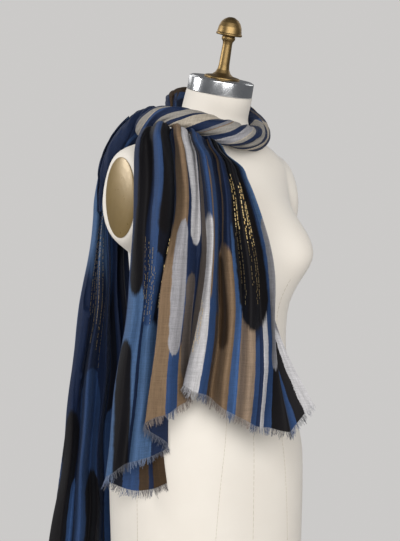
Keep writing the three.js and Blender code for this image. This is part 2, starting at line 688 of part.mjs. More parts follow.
function scarf() {
  const group = new THREE.Group();
  group.rotation.z = SCARF_TURN;
  const loopEnd = LOOP.length - 1;
  const shoulderEnd = ROLL_SHOULDER.length - 1;
  const underRoll = (place) => clearOfRoll(place, loop, LOOP_CUT, loopEnd, FALL_CLEARANCE);
  const behindRoll = (place) => clearOfRoll(place, shoulder, 0, shoulderEnd, TAIL_CLEARANCE);
  const fallRows = FALL_BROW.length + FALL_HANGING_ROWS;
  const fall = foldedSheet(fallLines, fallLinePoint, fallRows, 2, underRoll);
  const tail = foldedSheet(tailLines, tailLinePoint, TAIL_ROWS, 2, behindRoll);
  const front = clothRoll(loop, LOOP_CUT, loopEnd, 1.3, 20, 24);
  const nape = clothRoll(loop, 0, LOOP_CUT - ROLL_GAP, 1.3, 12, 24);
  const over = clothRoll(shoulder, 0, shoulderEnd, 1.1, 10, 20);
  group.add(part("scarf_front_fall", wall(fall, CLOTH), STRIPED));
  group.add(fringe("scarf_front_fringe", fall, 80, STRIPED));
  group.add(part("scarf_back_tail", wall(tail, CLOTH), NAVY));
  group.add(fringe("scarf_back_fringe", tail, 50, NAVY));
  group.add(part("scarf_neck_roll", wall(front, CLOTH), STRIPED));
  group.add(part("scarf_nape_roll", wall(nape, CLOTH), NAVY));
  group.add(part("scarf_shoulder_roll", wall(over, CLOTH), NAVY));
  return group;
}

const root = new THREE.Group();
root.add(formBody(), neckTop(), stand(), scarf());
root.add(armholePlate("form_right_plate", -1), armholePlate("form_left_plate", 1));
export default root;
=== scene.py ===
"""A long striped scarf with fringed ends on a dress form: finished surfaces, light and camera."""
import math

import bpy
import numpy as np
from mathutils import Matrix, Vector


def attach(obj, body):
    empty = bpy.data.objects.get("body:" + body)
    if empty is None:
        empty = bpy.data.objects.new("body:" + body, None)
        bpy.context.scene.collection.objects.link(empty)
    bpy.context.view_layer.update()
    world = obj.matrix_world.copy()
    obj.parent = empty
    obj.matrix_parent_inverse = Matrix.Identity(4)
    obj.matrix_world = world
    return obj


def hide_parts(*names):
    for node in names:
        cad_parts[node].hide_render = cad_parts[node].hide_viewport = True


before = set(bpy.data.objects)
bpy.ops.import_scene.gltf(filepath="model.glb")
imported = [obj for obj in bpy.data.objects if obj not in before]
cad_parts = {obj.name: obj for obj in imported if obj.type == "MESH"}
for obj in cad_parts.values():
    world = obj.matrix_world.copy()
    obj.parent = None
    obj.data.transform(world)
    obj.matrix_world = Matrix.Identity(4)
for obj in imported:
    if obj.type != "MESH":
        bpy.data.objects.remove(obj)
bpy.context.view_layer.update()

MM = 0.001
BODY = "root"
NOISE = np.random.default_rng(7)

# The form, in millimetres
GAP = 0.3
FORM_BOTTOM = 660.0
POLE_RADIUS = 14.0
COLLAR_RADIUS = 32.0
COLLAR_HEIGHT = 22.0
BASE_RADIUS = 190.0
BASE_HEIGHT = 30.0
ARM_X = 172.0
ARM_BACK = 12.0
ARM_Z = 1284.0
ARM_HALF_DEPTH = 50.0
ARM_HALF_HEIGHT = 78.0
PLATE_HALF_DEPTH = 42.0
PLATE_HALF_HEIGHT = 66.0
PLATE_THICKNESS = 5.0
BUST_Z = 1197.0
BUST_RISE = 52.0
BUST_ANGLE = 37.0
BUST_SPREAD = 25.0
BUST_ABOVE = 82.0
BUST_BELOW = 62.0
SECTION_POWER = 2.5
NECK_ROUNDS = (1370, 1410)  # between these heights the section becomes an ellipse
NECK_LEANS = 1400
ARM_FADE = (0.84, 1.32)
NECK_TOP = 1463.0
NECK_TILT = math.radians(15)
BAND_RADIUS = 55.0
BAND_HEIGHT = 24.0
KNOB_RADIUS = 22.0
KNOB_HEIGHT = 128.0

# The scarf
CLOTH = 0.9
CLEARANCE = 2.9
FALL_CLEARANCE = 5.1
TAIL_CLEARANCE = 2.7
SCARF_TURN = math.radians(-38)
FRINGE = 13.0
LOOP_CUT = 5.2
ROLL_GAP = 0.04
FALL_FOLD = 0.018  # metres of cloth for each fold of the stripes' tables
TAIL_FOLD = 0.0265

# The camera
CAMERA_AZIMUTH = math.radians(-38)
CAMERA_DISTANCE = 2.4
CAMERA_HEIGHT = 1.165
CAMERA_ASIDE = -0.0136
FRAME_TALL = 0.9197  # the height that the picture shows at the form's axis
SENSOR = 36.0

# The light and the floor, in metres
LAMPS = (  # azimuth and elevation in degrees, distance, size, watts
    ("key", -46, 16, 2.8, 1.2, 36.0),
    ("front", -14, 9, 3.0, 1.8, 54.0),
    ("left_rim", -128, 20, 2.6, 0.9, 36.0),
    ("right_rim", 95, 30, 2.8, 1.6, 10.0),
    ("back_fill", 175, 35, 3.0, 2.0, 14.0),
)
LAMP_AIM = (0, 0, 1.15)
LAMP_COLOR = (1.0, 0.985, 0.965)
SKY_COLOR = (0.80, 0.81, 0.84, 1)
SKY_STRENGTH = 0.16
PAPER = (0.60, 0.59, 0.58, 1)
FLOOR_RADIUS = 3.0
FLOOR_SIDES = 96
FLOOR_Z = -0.0005

# The meshes
FORM_SIDES = 260
FORM_FOOT = (660, 662, 665, 670)  # heights of the rings at the turned-in lower edge
FORM_RINGS = 150
TURNED_SIDES = 96
STAND_SIDES = 120
FALL_MESH = (165, 241)  # rows and columns
TAIL_MESH = (150, 145)
FALL_WANDER = (2.2, 1.5)  # how far the folds drift aside, and in and out
TAIL_WANDER = (2.5, 2.0)
FRINGE_PER_MM = 1.4
FRINGE_CLUMP = 5
FRINGE_WIDTH = 0.5
FRINGE_DROP = (0, 0, -0.8)  # how threads hang, against their way out of the hem
FRINGE_SPREAD = 0.17
FRINGE_STRAY = 0.07
FRINGE_BEND = 0.6
GOLD_LONG = (1.6, 5.0)
GOLD_WIDE = (1.8, 2.4)
GOLD_TALL = 0.6
GOLD_RAISED = 0.3
STITCH_STEP = 7.0
STITCH_SHARE = 0.72
STITCH_WIDE = 0.75
STITCH_TALL = 0.5

FORM_COLUMNS = ("z", "forward", "width", "front", "back")
FORM_SECTIONS = (
    (660, 0, 158, 113, 118), (668, 0, 164, 120, 126), (740, 0, 167, 124, 132),
    (830, 0, 168, 126, 134), (870, 0, 165, 126, 129), (911, 0, 154, 124, 114),
    (960, 0, 141, 122, 94), (1030, 0, 127, 120, 68), (1080, 0, 128, 118, 69),
    (1130, 0, 132, 116, 81), (1200, -1, 140, 111, 96), (1260, -5, 150, 100, 103),
    (1310, -9, 160, 89, 101), (1335, -10, 163, 82, 95), (1347, -10, 161, 78, 90),
    (1360, -8, 149, 73, 82), (1370, -5, 134, 69, 75), (1380, -1, 113, 66, 68),
    (1390, 3, 92, 64, 62), (1400, 6, 77, 62, 57), (1410, 9, 67, 60, 55),
    (1425, 15, 59, 57, 55), (1463, 31, 55, 55, 55),
)

FALL_COLUMNS = ("top_x", "top_z", "chest_x", "waist_x", "hem_x", "hem_z",
                "chest_out", "hem_out", "sway")
FALL_FOLDS = (
    (-104, 1389, -95, -97, -67, 826, -13, -25, 0),
    (-109, 1391, -103, -105, -93, 817, -16, -29, 0),
    (-114, 1392, -110, -117, -126, 818, -14, -26, 0),
    (-119, 1393, -118, -130, -163, 832, -4, -12, 0), (-111, 1397, -109, -121, -149, 848, 7, 4, 0),
    (-99, 1402, -95, -108, -130, 861, 2, -4, 0), (-78, 1406, -72, -92, -110, 867, 12, 4, 0),
    (-66, 1406, -56, -75, -82, 877, -6, -13, 0), (-61, 1404, -49, -64, -64, 890, -15, -19, 0),
    (-58, 1402, -53, -74, -101, 918, -4, 9, 0), (-54, 1402, -49, -68, -89, 936, 4, 13, 0),
    (-45, 1401, -37, -50, -66, 942, 13, 15, 0), (-36, 1400, -26, -35, -50, 953, 6, 4, 0),
    (-28, 1398, -16, -24, -28, 968, -4, -9, 0), (-24, 1397, -7, -13, -39, 983, 2, 9, 0),
    (-16, 1394, 4, -3, -21, 977, 12, 19, 0), (-8, 1392, 12, 8, -3, 973, 3, 7, 0),
    (0, 1389, 19, 17, 6, 963, -7, -11, 0), (7, 1386, 29, 34, 21, 954, 7, 10, 0),
    (13, 1383, 39, 50, 37, 938, -3, -5, 0), (20, 1380, 48, 67, 55, 929, 8, 9, 0),
    (26, 1377, 57, 84, 76, 921, -2, -6, 0), (31, 1374, 66, 100, 93, 919, 4, 3, 0),
    (34, 1372, 73, 110, 113, 915, 7, 9, 9), (31, 1370, 66, 92, 129, 920, -9, -8, 4),
    (33, 1369, 67, 96, 166, 952, -13, -14, 0),
)
FALL_CHEST_Z = 1276
FALL_WAIST_Z = 1110
FALL_BROW = (  # over the roll: depth, drop from the top, share of the way to the hang
    (66, 15, 0.0), (80, 9, 0.1), (95, 2, 0.3), (110, 1, 0.5), (125, 9, 0.7), (138, 24, 0.9),
)
FALL_HANG = (  # height, and depth of the middle of the cloth
    (800, 187), (900, 187), (1000, 187), (1100, 187), (1200, 188),
    (1250, 179), (1300, 165), (1340, 151), (1365, 142), (1385, 136),
)
FALL_HANGING_ROWS = 22
FALL_BREAK = 44  # how far below its top a fold starts to hang
CHEST_DEPTH = 2.1  # how much deeper the folds are than the solid's
HEM_DEPTH = 1.5
TOP_DEPTH = 1.4
GATHER_X = -58.0  # where the folds draw together under the roll
GATHER = 0.42

TAIL_COLUMNS = ("top_x", "top_y", "waist_x", "waist_y", "hem_x", "hem_y", "hem_z")
TAIL_FOLDS = (
    (-177, 1, -214, 22, -262, 24, 604), (-183, -11, -226, 2, -281, 0, 600),
    (-179, -21, -216, -16, -263, -22, 604), (-175, -11, -205, 6, -249, 8, 611),
    (-170, -19, -195, -22, -232, -28, 607), (-167, -7, -185, 6, -215, 10, 617),
    (-163, -13, -174, -14, -196, -18, 612), (-164, 1, -170, 20, -184, 28, 623),
    (-156, -1, -152, 6, -160, 16, 618), (-158, 13, -156, 44, -164, 62, 628),
    (-152, 13, -138, 36, -134, 54, 622), (-156, 25, -142, 68, -136, 96, 634),
    (-150, 29, -130, 84, -110, 108, 640),
)
TAIL_TOP_Z = 1352
TAIL_WAIST_Z = 1030
TAIL_SPREAD_Z = 1290  # below it the folds hang, above it they gather over the shoulder
TAIL_GATHER = ((0, 1, 12), (46, 40, -80))  # fold places, and degrees round the roll
TAIL_OVER = (1.7, 4.3, 7)  # start and end along the roll, and the number of rows there
TAIL_OVER_GAP = 2.2
TAIL_ROWS = 20

ROLL_COLUMNS = ("x", "y", "z", "width", "height", "twist", "lean")
LOOP = (
    (-63, -30, 1422, 10, 13, -40, 0), (-63, 14, 1444, 12, 27, -55, 0),
    (-41, 54, 1451, 13, 34, -70, 0), (12, 74, 1446, 14, 34, -80, 0),
    (64, 54, 1426, 18, 29, -60, 0), (86, 12, 1404, 22, 24, -25, 0),
    (80, -37, 1387, 22, 21, 25, 0), (59, -77, 1383, 24, 21, 80, 0),
    (29, -101, 1389, 25, 21, 135, 0), (-4, -111, 1401, 24, 20, 185, 0),
    (-36, -107, 1410, 22, 18.5, 225, 0), (-68, -92, 1418, 20, 18, 260, 0.1),
    (-93, -68, 1414, 19, 21, 285, 0.3), (-114, -37, 1404, 18, 26, 300, 0.45),
)
ROLL_SHOULDER = (
    (-86, 14, 1438, 13, 16, 0, 0), (-104, -2, 1425, 17, 20, 12, 0),
    (-123, -14, 1408, 20, 22, 24, 0), (-143, -23, 1387, 20, 20, 36, 0),
    (-161, -28, 1357, 17, 18, 48, 0), (-171, -29, 1322, 12, 14, 58, 0),
)
SHOULDER_END = (  # where the cloth from the shoulder thins out on the tail
    (-178, -30, 1292, 8, 10, 62, 0),
    (-182, -28, 1264, 4, 5, 66, 0),
)
SHOULDER_SHARE = 0.94  # of the solid's size, so that the long end covers it
ROLL_STEP = 3.6
ROLL_UNIT = 12  # places across a roll's cloth
ROLL_LOBES = ((3, 0.07, 0.0), (7, 0.018, 1.2), (11, 0.012, 2.6))
PINCH_KEPT = 0.3
PINCH_LENGTH = 0.5


# Curves and surfaces

def curve_through(knots, values, at):
    """A smooth curve through values at rising knots. values may have more axes than one."""
    knots = np.asarray(knots, float)
    values = np.asarray(values, float)
    extra = (1,) * (values.ndim - 1)
    last = len(knots) - 1
    low = np.maximum(np.arange(last + 1) - 1, 0)
    high = np.minimum(np.arange(last + 1) + 1, last)
    slopes = (values[high] - values[low]) / (knots[high] - knots[low]).reshape((-1,) + extra)
    at = np.clip(np.asarray(at, float), knots[0], knots[-1])
    i = np.clip(np.searchsorted(knots, at, side="left") - 1, 0, last - 1)
    span = knots[i + 1] - knots[i]
    s = ((at - knots[i]) / span).reshape(at.shape + extra)
    span = span.reshape(at.shape + extra)
    start = (2 * s**3 - 3 * s**2 + 1) * values[i] + (s**3 - 2 * s**2 + s) * span * slopes[i]
    end = (3 * s**2 - 2 * s**3) * values[i + 1] + (s**3 - s**2) * span * slopes[i + 1]
    return start + end


def smoothstep(x, low, high):
    t = np.clip((x - low) / (high - low), 0, 1)
    return t * t * (3 - 2 * t)


def table(names, rows):
    return dict(zip(names, np.array(rows, float).T))


FORM = table(FORM_COLUMNS, FORM_SECTIONS)


def section(name, z):
    return curve_through(FORM["z"], FORM[name], z)


def form_radius(angle, z):
    """The form's radius from its section's middle, at an angle in radians and a height."""
    across = np.maximum(np.abs(np.cos(angle)), 1e-9)
    along = np.sin(angle)
    depth = np.where(along < 0, section("front", z), section("back", z))
    power = SECTION_POWER + (2 - SECTION_POWER) * smoothstep(z, *NECK_ROUNDS)
    total = (across / section("width", z)) ** power + (np.abs(along) / depth) ** power
    radius = total ** (-1 / power)
    off_front = np.abs(np.degrees(angle) + 90)
    off_bust = (np.minimum(off_front, 360 - off_front) - BUST_ANGLE) / BUST_SPREAD
    height = (z - BUST_Z) / np.where(z > BUST_Z, BUST_ABOVE, BUST_BELOW)
    radius = radius + BUST_RISE * np.exp(-(off_bust**2) - height**2)
    arm_along = radius * along - section("forward", z) - ARM_BACK
    off_arm = np.hypot(arm_along / ARM_HALF_DEPTH, (z - ARM_Z) / ARM_HALF_HEIGHT)
    flat = np.where(across > 0.3, 1 - smoothstep(off_arm, *ARM_FADE), 0)
    return radius + (ARM_X / across - radius) * flat


def outside_form(p):
    """How far outside the form a point is, along the radius."""
    y = p[..., 1] + section("forward", p[..., 2])
    angle = np.arctan2(y, p[..., 0])
    outside = np.hypot(p[..., 0], y) - form_radius(angle, p[..., 2])
    beyond = (p[..., 2] > NECK_TOP + BAND_HEIGHT) | (p[..., 2] < FORM_BOTTOM - CLEARANCE)
    return np.where(beyond, 1e6, outside)


def turned(p, angle):
    c, s = math.cos(angle), math.sin(angle)
    out = np.array(p, float)
    out[..., 0] = c * p[..., 0] - s * p[..., 1]
    out[..., 1] = s * p[..., 0] + c * p[..., 1]
    return out


def clear_of_form(p, gap):
    """Points of the scarf, in the scarf's turned frame, moved clear of the form."""
    place = turned(p, SCARF_TURN)
    step = 0.5
    for _ in range(6):
        outside = outside_form(place)
        slope = np.stack(
            [(outside_form(place + step * axis) - outside) / step for axis in np.eye(3)], -1
        )
        length = np.maximum(np.linalg.norm(slope, axis=-1), 1e-6)
        missing = np.where(outside < gap * 3, np.maximum(gap - outside / length, 0), 0)
        if missing.max() <= 0:
            break
        place = place + slope / length[..., None] * missing[..., None]
    return turned(place, -SCARF_TURN)


def unit_length(vectors):
    return vectors / np.maximum(np.linalg.norm(vectors, axis=-1, keepdims=True), 1e-9)


def grid_normals(grid):
    return unit_length(np.cross(np.gradient(grid, axis=0), np.gradient(grid, axis=1)))


def resampled(grid, rows, columns):
    """A finer grid through a coarse one, with its rows evenly spaced down the middle line."""
    steps = np.linalg.norm(np.diff(grid, axis=0), axis=-1).mean(axis=1)
    along = np.concatenate([[0], np.cumsum(steps)])
    row_at = np.interp(np.linspace(0, along[-1], rows), along, np.arange(len(grid)))
    fine = curve_through(np.arange(len(grid)), grid, row_at)
    column_at = np.linspace(0, grid.shape[1] - 1, columns)
    across = curve_through(np.arange(grid.shape[1]), fine.transpose(1, 0, 2), column_at)
    return across.transpose(1, 0, 2)


def fall_grid():
    """The scarf's end over the breast: fold lines by rows, in the scarf's frame."""
    hang = np.array(FALL_HANG, float)
    lines = []
    for row in FALL_FOLDS:
        fold = dict(zip(FALL_COLUMNS, row))
        knots = (fold["hem_z"], FALL_WAIST_Z, FALL_CHEST_Z, fold["top_z"])
        xs = (fold["hem_x"], fold["waist_x"], fold["chest_x"], fold["top_x"])
        chest, hem = fold["chest_out"] * CHEST_DEPTH, fold["hem_out"] * HEM_DEPTH
        outs = (hem, hem, chest, chest * TOP_DEPTH)
        points = []
        for depth, drop, share in FALL_BROW:
            gather = (GATHER_X - fold["top_x"]) * GATHER * (1 - share)
            place = (fold["top_x"] + gather, -depth - outs[3] * share, fold["top_z"] - drop)
            points.append(place)
        v = np.linspace(0, 1, FALL_HANGING_ROWS)
        z = (fold["top_z"] - FALL_BREAK) * (1 - v) + fold["hem_z"] * v
        sway = fold["sway"] * smoothstep(v, 0.2, 0.6) * np.sin((v - 0.45) * 2.6 * math.pi)
        x = curve_through(knots, xs, z) - sway
        y = -curve_through(hang[:, 0], hang[:, 1], z) - curve_through(knots, outs, z)
        points.extend(zip(x, y, z))
        lines.append(points)
    return np.array(lines, float).transpose(1, 0, 2)


def wandered(grid, aside, deep):
    """Folds that drift a little from side to side and in and out on their way down."""
    place = np.arange(grid.shape[1])[None, :] * 1.0
    z = grid[..., 2]
    ease = smoothstep(grid[:1, :, 2] - z, 10, 160)
    out = grid.copy()
    drift = np.sin(z / 62 + place * 0.55) + 0.6 * np.sin(z / 31 - place * 0.9 + 1.0)
    swell = np.sin(z / 47 - place * 0.7 + 2.0) + 0.5 * np.sin(z / 23 + place * 1.1)
    out[..., 0] += aside * ease * drift
    out[..., 1] += deep * ease * swell
    hem = smoothstep(np.linspace(0, 1, len(grid)), 0.8, 1.0)[:, None]
    out[..., 2] += 2.2 * hem * (np.sin(place * 2.3 + 0.4) + 0.7 * np.sin(place * 5.1))
    out[..., 1] += 1.6 * hem * np.sin(place * 3.7 + 1.3)
    return out


def tail_grid():
    """The scarf's end behind the shoulder, drawn together over the back of its roll."""
    lines = []
    for place, row in enumerate(TAIL_FOLDS):
        fold = dict(zip(TAIL_COLUMNS, row))
        z = np.linspace(TAIL_SPREAD_Z, fold["hem_z"], TAIL_ROWS)
        knots = (fold["hem_z"], TAIL_WAIST_Z, TAIL_TOP_Z)
        x = curve_through(knots, (fold["hem_x"], fold["waist_x"], fold["top_x"]), z)
        y = curve_through(knots, (fold["hem_y"], fold["waist_y"], fold["top_y"]), z)
        angle = np.interp(place, TAIL_GATHER[0], TAIL_GATHER[1])
        over = around_roll(ROLL_SHOULDER, np.linspace(*TAIL_OVER), angle, TAIL_OVER_GAP)
        lines.append(np.concatenate([over, np.stack([x, y, z], -1)]))
    return np.array(lines).transpose(1, 0, 2)


def roll_frames(rows, t):
    """Middles, the two directions across, and the other columns of a roll's path."""
    knots = np.arange(len(rows))
    values = np.array(rows, float)
    at = curve_through(knots, values, t)
    ahead = curve_through(knots, values, t + 0.05) - curve_through(knots, values, t - 0.05)
    ahead = unit_length(ahead[:, :3])
    sideways = unit_length(np.cross(ahead, (0, 0, 1)))
    upright = np.cross(sideways, ahead)
    return dict(zip(ROLL_COLUMNS, at.T)), at[:, :3], sideways, upright


def around_roll(rows, t, degrees, gap):
    """A line along a roll's surface, at an angle round it and a little outside it."""
    column, middle, sideways, upright = roll_frames(rows, t)
    wide = (column["width"] + gap) * math.cos(math.radians(degrees))
    tall = (column["height"] + gap) * math.sin(math.radians(degrees))
    return middle + sideways * wide[:, None] + upright * tall[:, None]


def clear_of_roll(p, rows, start, gap):
    """Points moved clear of a roll from one place of its path to its end."""
    t = np.arange(start, len(rows) - 1 + 1e-9, 0.05)
    column, middle, sideways, upright = roll_frames(rows, t)
    flat = p.reshape(-1, 3)
    best = np.argmin(((flat[:, None] - middle[None]) ** 2).sum(-1), axis=1)
    off = flat - middle[best]
    across = (off * sideways[best]).sum(-1)
    up = (off * upright[best]).sum(-1)
    wide = column["width"][best] + gap
    tall = column["height"][best] + gap
    inside = np.maximum(np.hypot(across / wide, up / tall), 1e-6)
    more = np.where(inside < 1, 1 / inside - 1, 0)
    moved = flat + sideways[best] * (across * more)[:, None] + upright[best] * (up * more)[:, None]
    return moved.reshape(p.shape)


def pinched(t, closed):
    """How much of its size a roll keeps near its gathered ends."""
    keep = np.ones(len(t))
    for end, inward in (("start", t - t[0]), ("end", t[-1] - t)):
        if end in closed:
            near = np.sqrt(np.clip(inward / PINCH_LENGTH, 0, 1))
            keep *= PINCH_KEPT + (1 - PINCH_KEPT) * near
    return keep


def roll_grid(rows, span, turns, size, closed):
    """A roll of cloth wound as a loose spiral, as (rows, columns) of its size."""
    start, end = span
    down, around = size
    t = np.linspace(start, end, down)
    column, middle, sideways, upright = roll_frames(rows, t)
    share = np.linspace(0, 1, around)[None, :]
    phase = share * turns * 2 * math.pi
    angle = np.radians(column["twist"])[:, None] + phase
    inner = ROLL_STEP * turns * (1 - share)
    pinch = pinched(t, closed)[:, None]
    lobe = 1 + sum(depth * np.cos(count * phase + turn) for count, depth, turn in ROLL_LOBES)
    w = (column["width"][:, None] - inner) * lobe * np.cos(angle) * pinch
    h = (column["height"][:, None] - inner) * lobe * np.sin(angle) * pinch
    grid = middle[:, None] + sideways[:, None] * w[..., None] + upright[:, None] * h[..., None]
    grid[..., 0] += column["lean"][:, None] * h
    return clear_of_form(grid, CLEARANCE)


# Blender meshes

def placed_object(name, data):
    holder = bpy.data.objects.new(name, data)
    bpy.context.scene.collection.objects.link(holder)
    return holder


def finish_mesh(name, verts, faces, uv, material, sharp=40, node=None):
    """A piece from points in millimetres, which may replace a node of the frame."""
    mesh = bpy.data.meshes.new(name)
    mesh.from_pydata((np.asarray(verts, float) * MM).tolist(), [], faces)
    if uv is not None:
        layer = mesh.uv_layers.new(name="UVMap")
        index = np.empty(len(mesh.loops), dtype=np.int64)
        mesh.loops.foreach_get("vertex_index", index)
        layer.data.foreach_set("uv", np.asarray(uv, float)[index].ravel())
    mesh.polygons.foreach_set("use_smooth", [True] * len(mesh.polygons))
    mesh.set_sharp_from_angle(angle=math.radians(sharp))
    mesh.materials.append(material)
    mesh.validate()
    mesh.update()
    piece = placed_object(name, mesh)
    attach(piece, BODY)
    if node:
        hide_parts(node)
    return piece


def wall_mesh(grid, uv, thickness):
    """Vertices, faces and UVs of a wall on both sides of a grid."""
    rows, columns = grid.shape[:2]
    half = grid_normals(grid) * (thickness / 2)
    verts = np.concatenate([(grid + half).reshape(-1, 3), (grid - half).reshape(-1, 3)])
    index = np.arange(rows * columns).reshape(rows, columns)
    front = np.stack([index[:-1, :-1], index[1:, :-1], index[1:, 1:], index[:-1, 1:]], -1)
    front = front.reshape(-1, 4)
    back = front[:, ::-1] + rows * columns
    border = np.concatenate([index[:, 0], index[-1, 1:], index[-2::-1, -1], index[0, -2:0:-1]])
    following = np.roll(border, -1)
    rim = np.stack([following, border, border + rows * columns, following + rows * columns], -1)
    faces = np.concatenate([front, back, rim]).tolist()
    flat_uv = uv.reshape(-1, 2)
    return verts, faces, np.concatenate([flat_uv, flat_uv])


def cloth_piece(name, grid, uv, material, node):
    verts, faces, all_uv = wall_mesh(turned(grid, SCARF_TURN), uv, CLOTH)
    return finish_mesh(name, verts, faces, all_uv, material, sharp=75, node=node)


def ringed_mesh(rings, low, high):
    """A closed body from rings of points, with a fan of faces to a point at each end."""
    count, sides = rings.shape[:2]
    verts = np.concatenate([[low], rings.reshape(-1, 3), [high]])
    index = 1 + np.arange(count * sides).reshape(count, sides)
    after = np.roll(index, -1, axis=1)
    quads = np.stack([index[:-1], after[:-1], after[1:], index[1:]], -1)
    faces = quads.reshape(-1, 4).tolist()
    faces.extend((0, b, a) for a, b in zip(index[0].tolist(), after[0].tolist()))
    last = len(verts) - 1
    faces.extend((a, b, last) for a, b in zip(index[-1].tolist(), after[-1].tolist()))
    return verts, faces


def lathe_mesh(profile, sides):
    """A closed turned body from (radius, height) rows that start and end on the axis."""
    profile = np.array(profile, float)
    radius, height = profile[1:-1].T
    angle = np.arange(sides) * 2 * math.pi / sides
    x, y = np.outer(radius, np.cos(angle)), np.outer(radius, np.sin(angle))
    rings = np.stack([x, y, height[:, None].repeat(sides, 1)], -1)
    return ringed_mesh(rings, (0, 0, profile[0, 1]), (0, 0, profile[-1, 1]))


def rounded_profile(profile, radius, steps=3):
    """A profile with each inner corner cut by a small arc."""
    points = [np.array(p, float) for p in profile]
    out = [points[0]]
    for before, corner, after in zip(points, points[1:], points[2:]):
        to_before = before - corner
        to_after = after - corner
        reach = min(radius, 0.45 * np.linalg.norm(to_before), 0.45 * np.linalg.norm(to_after))
        a = corner + unit_length(to_before) * reach
        b = corner + unit_length(to_after) * reach
        for k in range(steps + 1):
            s = k / steps
            out.append(a * (1 - s) ** 2 + 2 * corner * s * (1 - s) + b * s**2)
    out.append(points[-1])
    return out


def tilted(verts, tilt, origin):
    """Turned bodies' points leaned forward about X and moved to their place."""
    c, s = math.cos(tilt), math.sin(tilt)
    out = np.array(verts)
    out[:, 1] = c * verts[:, 1] - s * verts[:, 2]
    out[:, 2] = s * verts[:, 1] + c * verts[:, 2]
    return out + np.array(origin, float)


# Materials

def linear(hex_color):
    channels = [int(hex_color[i:i + 2], 16) / 255 for i in (1, 3, 5)]
    out = [c / 12.92 if c <= 0.04045 else ((c + 0.055) / 1.055) ** 2.4 for c in channels]
    return (*out, 1.0)


class Nodes:
    """A short way to write a material's node tree."""

    def __init__(self, name):
        self.material = bpy.data.materials.new(name)
        self.material.use_nodes = True
        self.tree = self.material.node_tree
        self.tree.nodes.clear()
        self.out = self.tree.nodes.new("ShaderNodeOutputMaterial")
        self.shader = self.tree.nodes.new("ShaderNodeBsdfPrincipled")
        self.tree.links.new(self.shader.outputs[0], self.out.inputs["Surface"])

    def add(self, kind, **settings):
        node = self.tree.nodes.new("ShaderNode" + kind)
        for key, value in settings.items():
            setattr(node, key, value)
        return node

    def feed(self, socket, value):
        if isinstance(value, bpy.types.NodeSocket):
            self.tree.links.new(value, socket)
        elif value is not None:
            socket.default_value = value

    def feed_all(self, node, *values, **named):
        """Values for a node's inputs, in order or by name."""
        for socket, value in zip(node.inputs, values):
            self.feed(socket, value)
        for key, value in named.items():
            self.feed(node.inputs[key.replace("_", " ")], value)

    def math(self, operation, a, b=None, c=None, clamp=False):
        node = self.add("Math", operation=operation, use_clamp=clamp)
        self.feed_all(node, a, b, c)
        return node.outputs[0]

    def times(self, a, b):
        return self.math("MULTIPLY", a, b)

    def minus(self, a, b):
        return self.math("SUBTRACT", a, b)

    def fit(self, value, factor, offset, clamp=False):
        """A value times a factor plus an offset."""
        return self.math("MULTIPLY_ADD", value, factor, offset, clamp)

    def grain(self, u, v, shares, scale, detail, roughness=0.5):
        """Noise over u and v that is drawn out where a share is below 1."""
        across = self.times(u, shares[0]) if shares[0] < 1 else u
        up = self.times(v, shares[1]) if shares[1] < 1 else v
        return self.noise(self.vector(across, up), scale, detail, roughness)

    def ramp(self, factor, stops, interpolation="LINEAR"):
        node = self.add("ValToRGB")
        node.color_ramp.interpolation = interpolation
        elements = node.color_ramp.elements
        while len(elements) > 1:
            elements.remove(elements[-1])
        elements[0].position, elements[0].color = stops[0][0], as_color(stops[0][1])
        for place, color in stops[1:]:
            elements.new(place).color = as_color(color)
        self.feed(node.inputs[0], factor)
        return node.outputs[0]

    def mix(self, factor, a, b, blend="MIX"):
        node = self.add("Mix", data_type="RGBA", blend_type=blend)
        self.feed(node.inputs["Factor"], factor)
        self.feed(node.inputs[6], a)
        self.feed(node.inputs[7], b)
        return node.outputs[2]

    def vector(self, x, y, z=0.0):
        node = self.add("CombineXYZ")
        self.feed_all(node, x, y, z)
        return node.outputs[0]

    def noise(self, vector, scale, detail=2.0, roughness=0.5):
        node = self.add("TexNoise")
        self.feed_all(node, Vector=vector, Scale=scale, Detail=detail, Roughness=roughness)
        return node.outputs["Fac"]

    def bump(self, height, distance, strength):
        node = self.add("Bump")
        self.feed_all(node, Height=height, Distance=distance, Strength=strength)
        return node.outputs[0]

    def set(self, **inputs):
        self.feed_all(self.shader, **inputs)


def as_color(value):
    if isinstance(value, str):
        return linear(value)
    return (value, value, value, 1.0)


def threads(nodes, u, v, pitch=0.0006):
    """A plain weave's height from UV in metres: threads over and under each other."""
    along = nodes.math("SINE", nodes.times(u, 2 * math.pi / pitch))
    across = nodes.math("SINE", nodes.times(v, 2 * math.pi / pitch))
    slub = nodes.grain(u, v, (0.12, 1), 900.0, 3.0)
    warp = nodes.grain(u, v, (1, 0.06), 1100.0, 3.0)
    both = nodes.fit(nodes.times(along, across), 0.25, slub)
    return nodes.math("ADD", both, warp)


def bar_mask(nodes, u, v, fold, bar, ragged):
    """1 inside a bar with round, feathered ends and 0 outside it. u and v are in metres."""
    upper, upper_z, lower, lower_z, half, color = bar
    slope = (upper - lower) / (upper_z - lower_z) / MM
    aside = nodes.minus(u, nodes.fit(v, slope * fold, (upper - slope * upper_z * MM) * fold))
    over = nodes.minus(v, upper_z * MM - half * fold)
    under = nodes.minus(lower_z * MM + half * fold, v)
    beyond = nodes.math("MAXIMUM", nodes.math("MAXIMUM", over, under), 0.0)
    length = nodes.add("VectorMath", operation="LENGTH")
    nodes.feed(length.inputs[0], nodes.vector(aside, nodes.times(beyond, BAR_ROUND)))
    reach = nodes.fit(ragged, half * fold * BAR_RAGGED, half * fold)
    soft = BAR_SOFT_DARK if color in (BLACK, DEEP, BROWN) else BAR_SOFT
    return nodes.fit(nodes.minus(reach, length.outputs["Value"]), 1 / soft, 0.5, clamp=True)


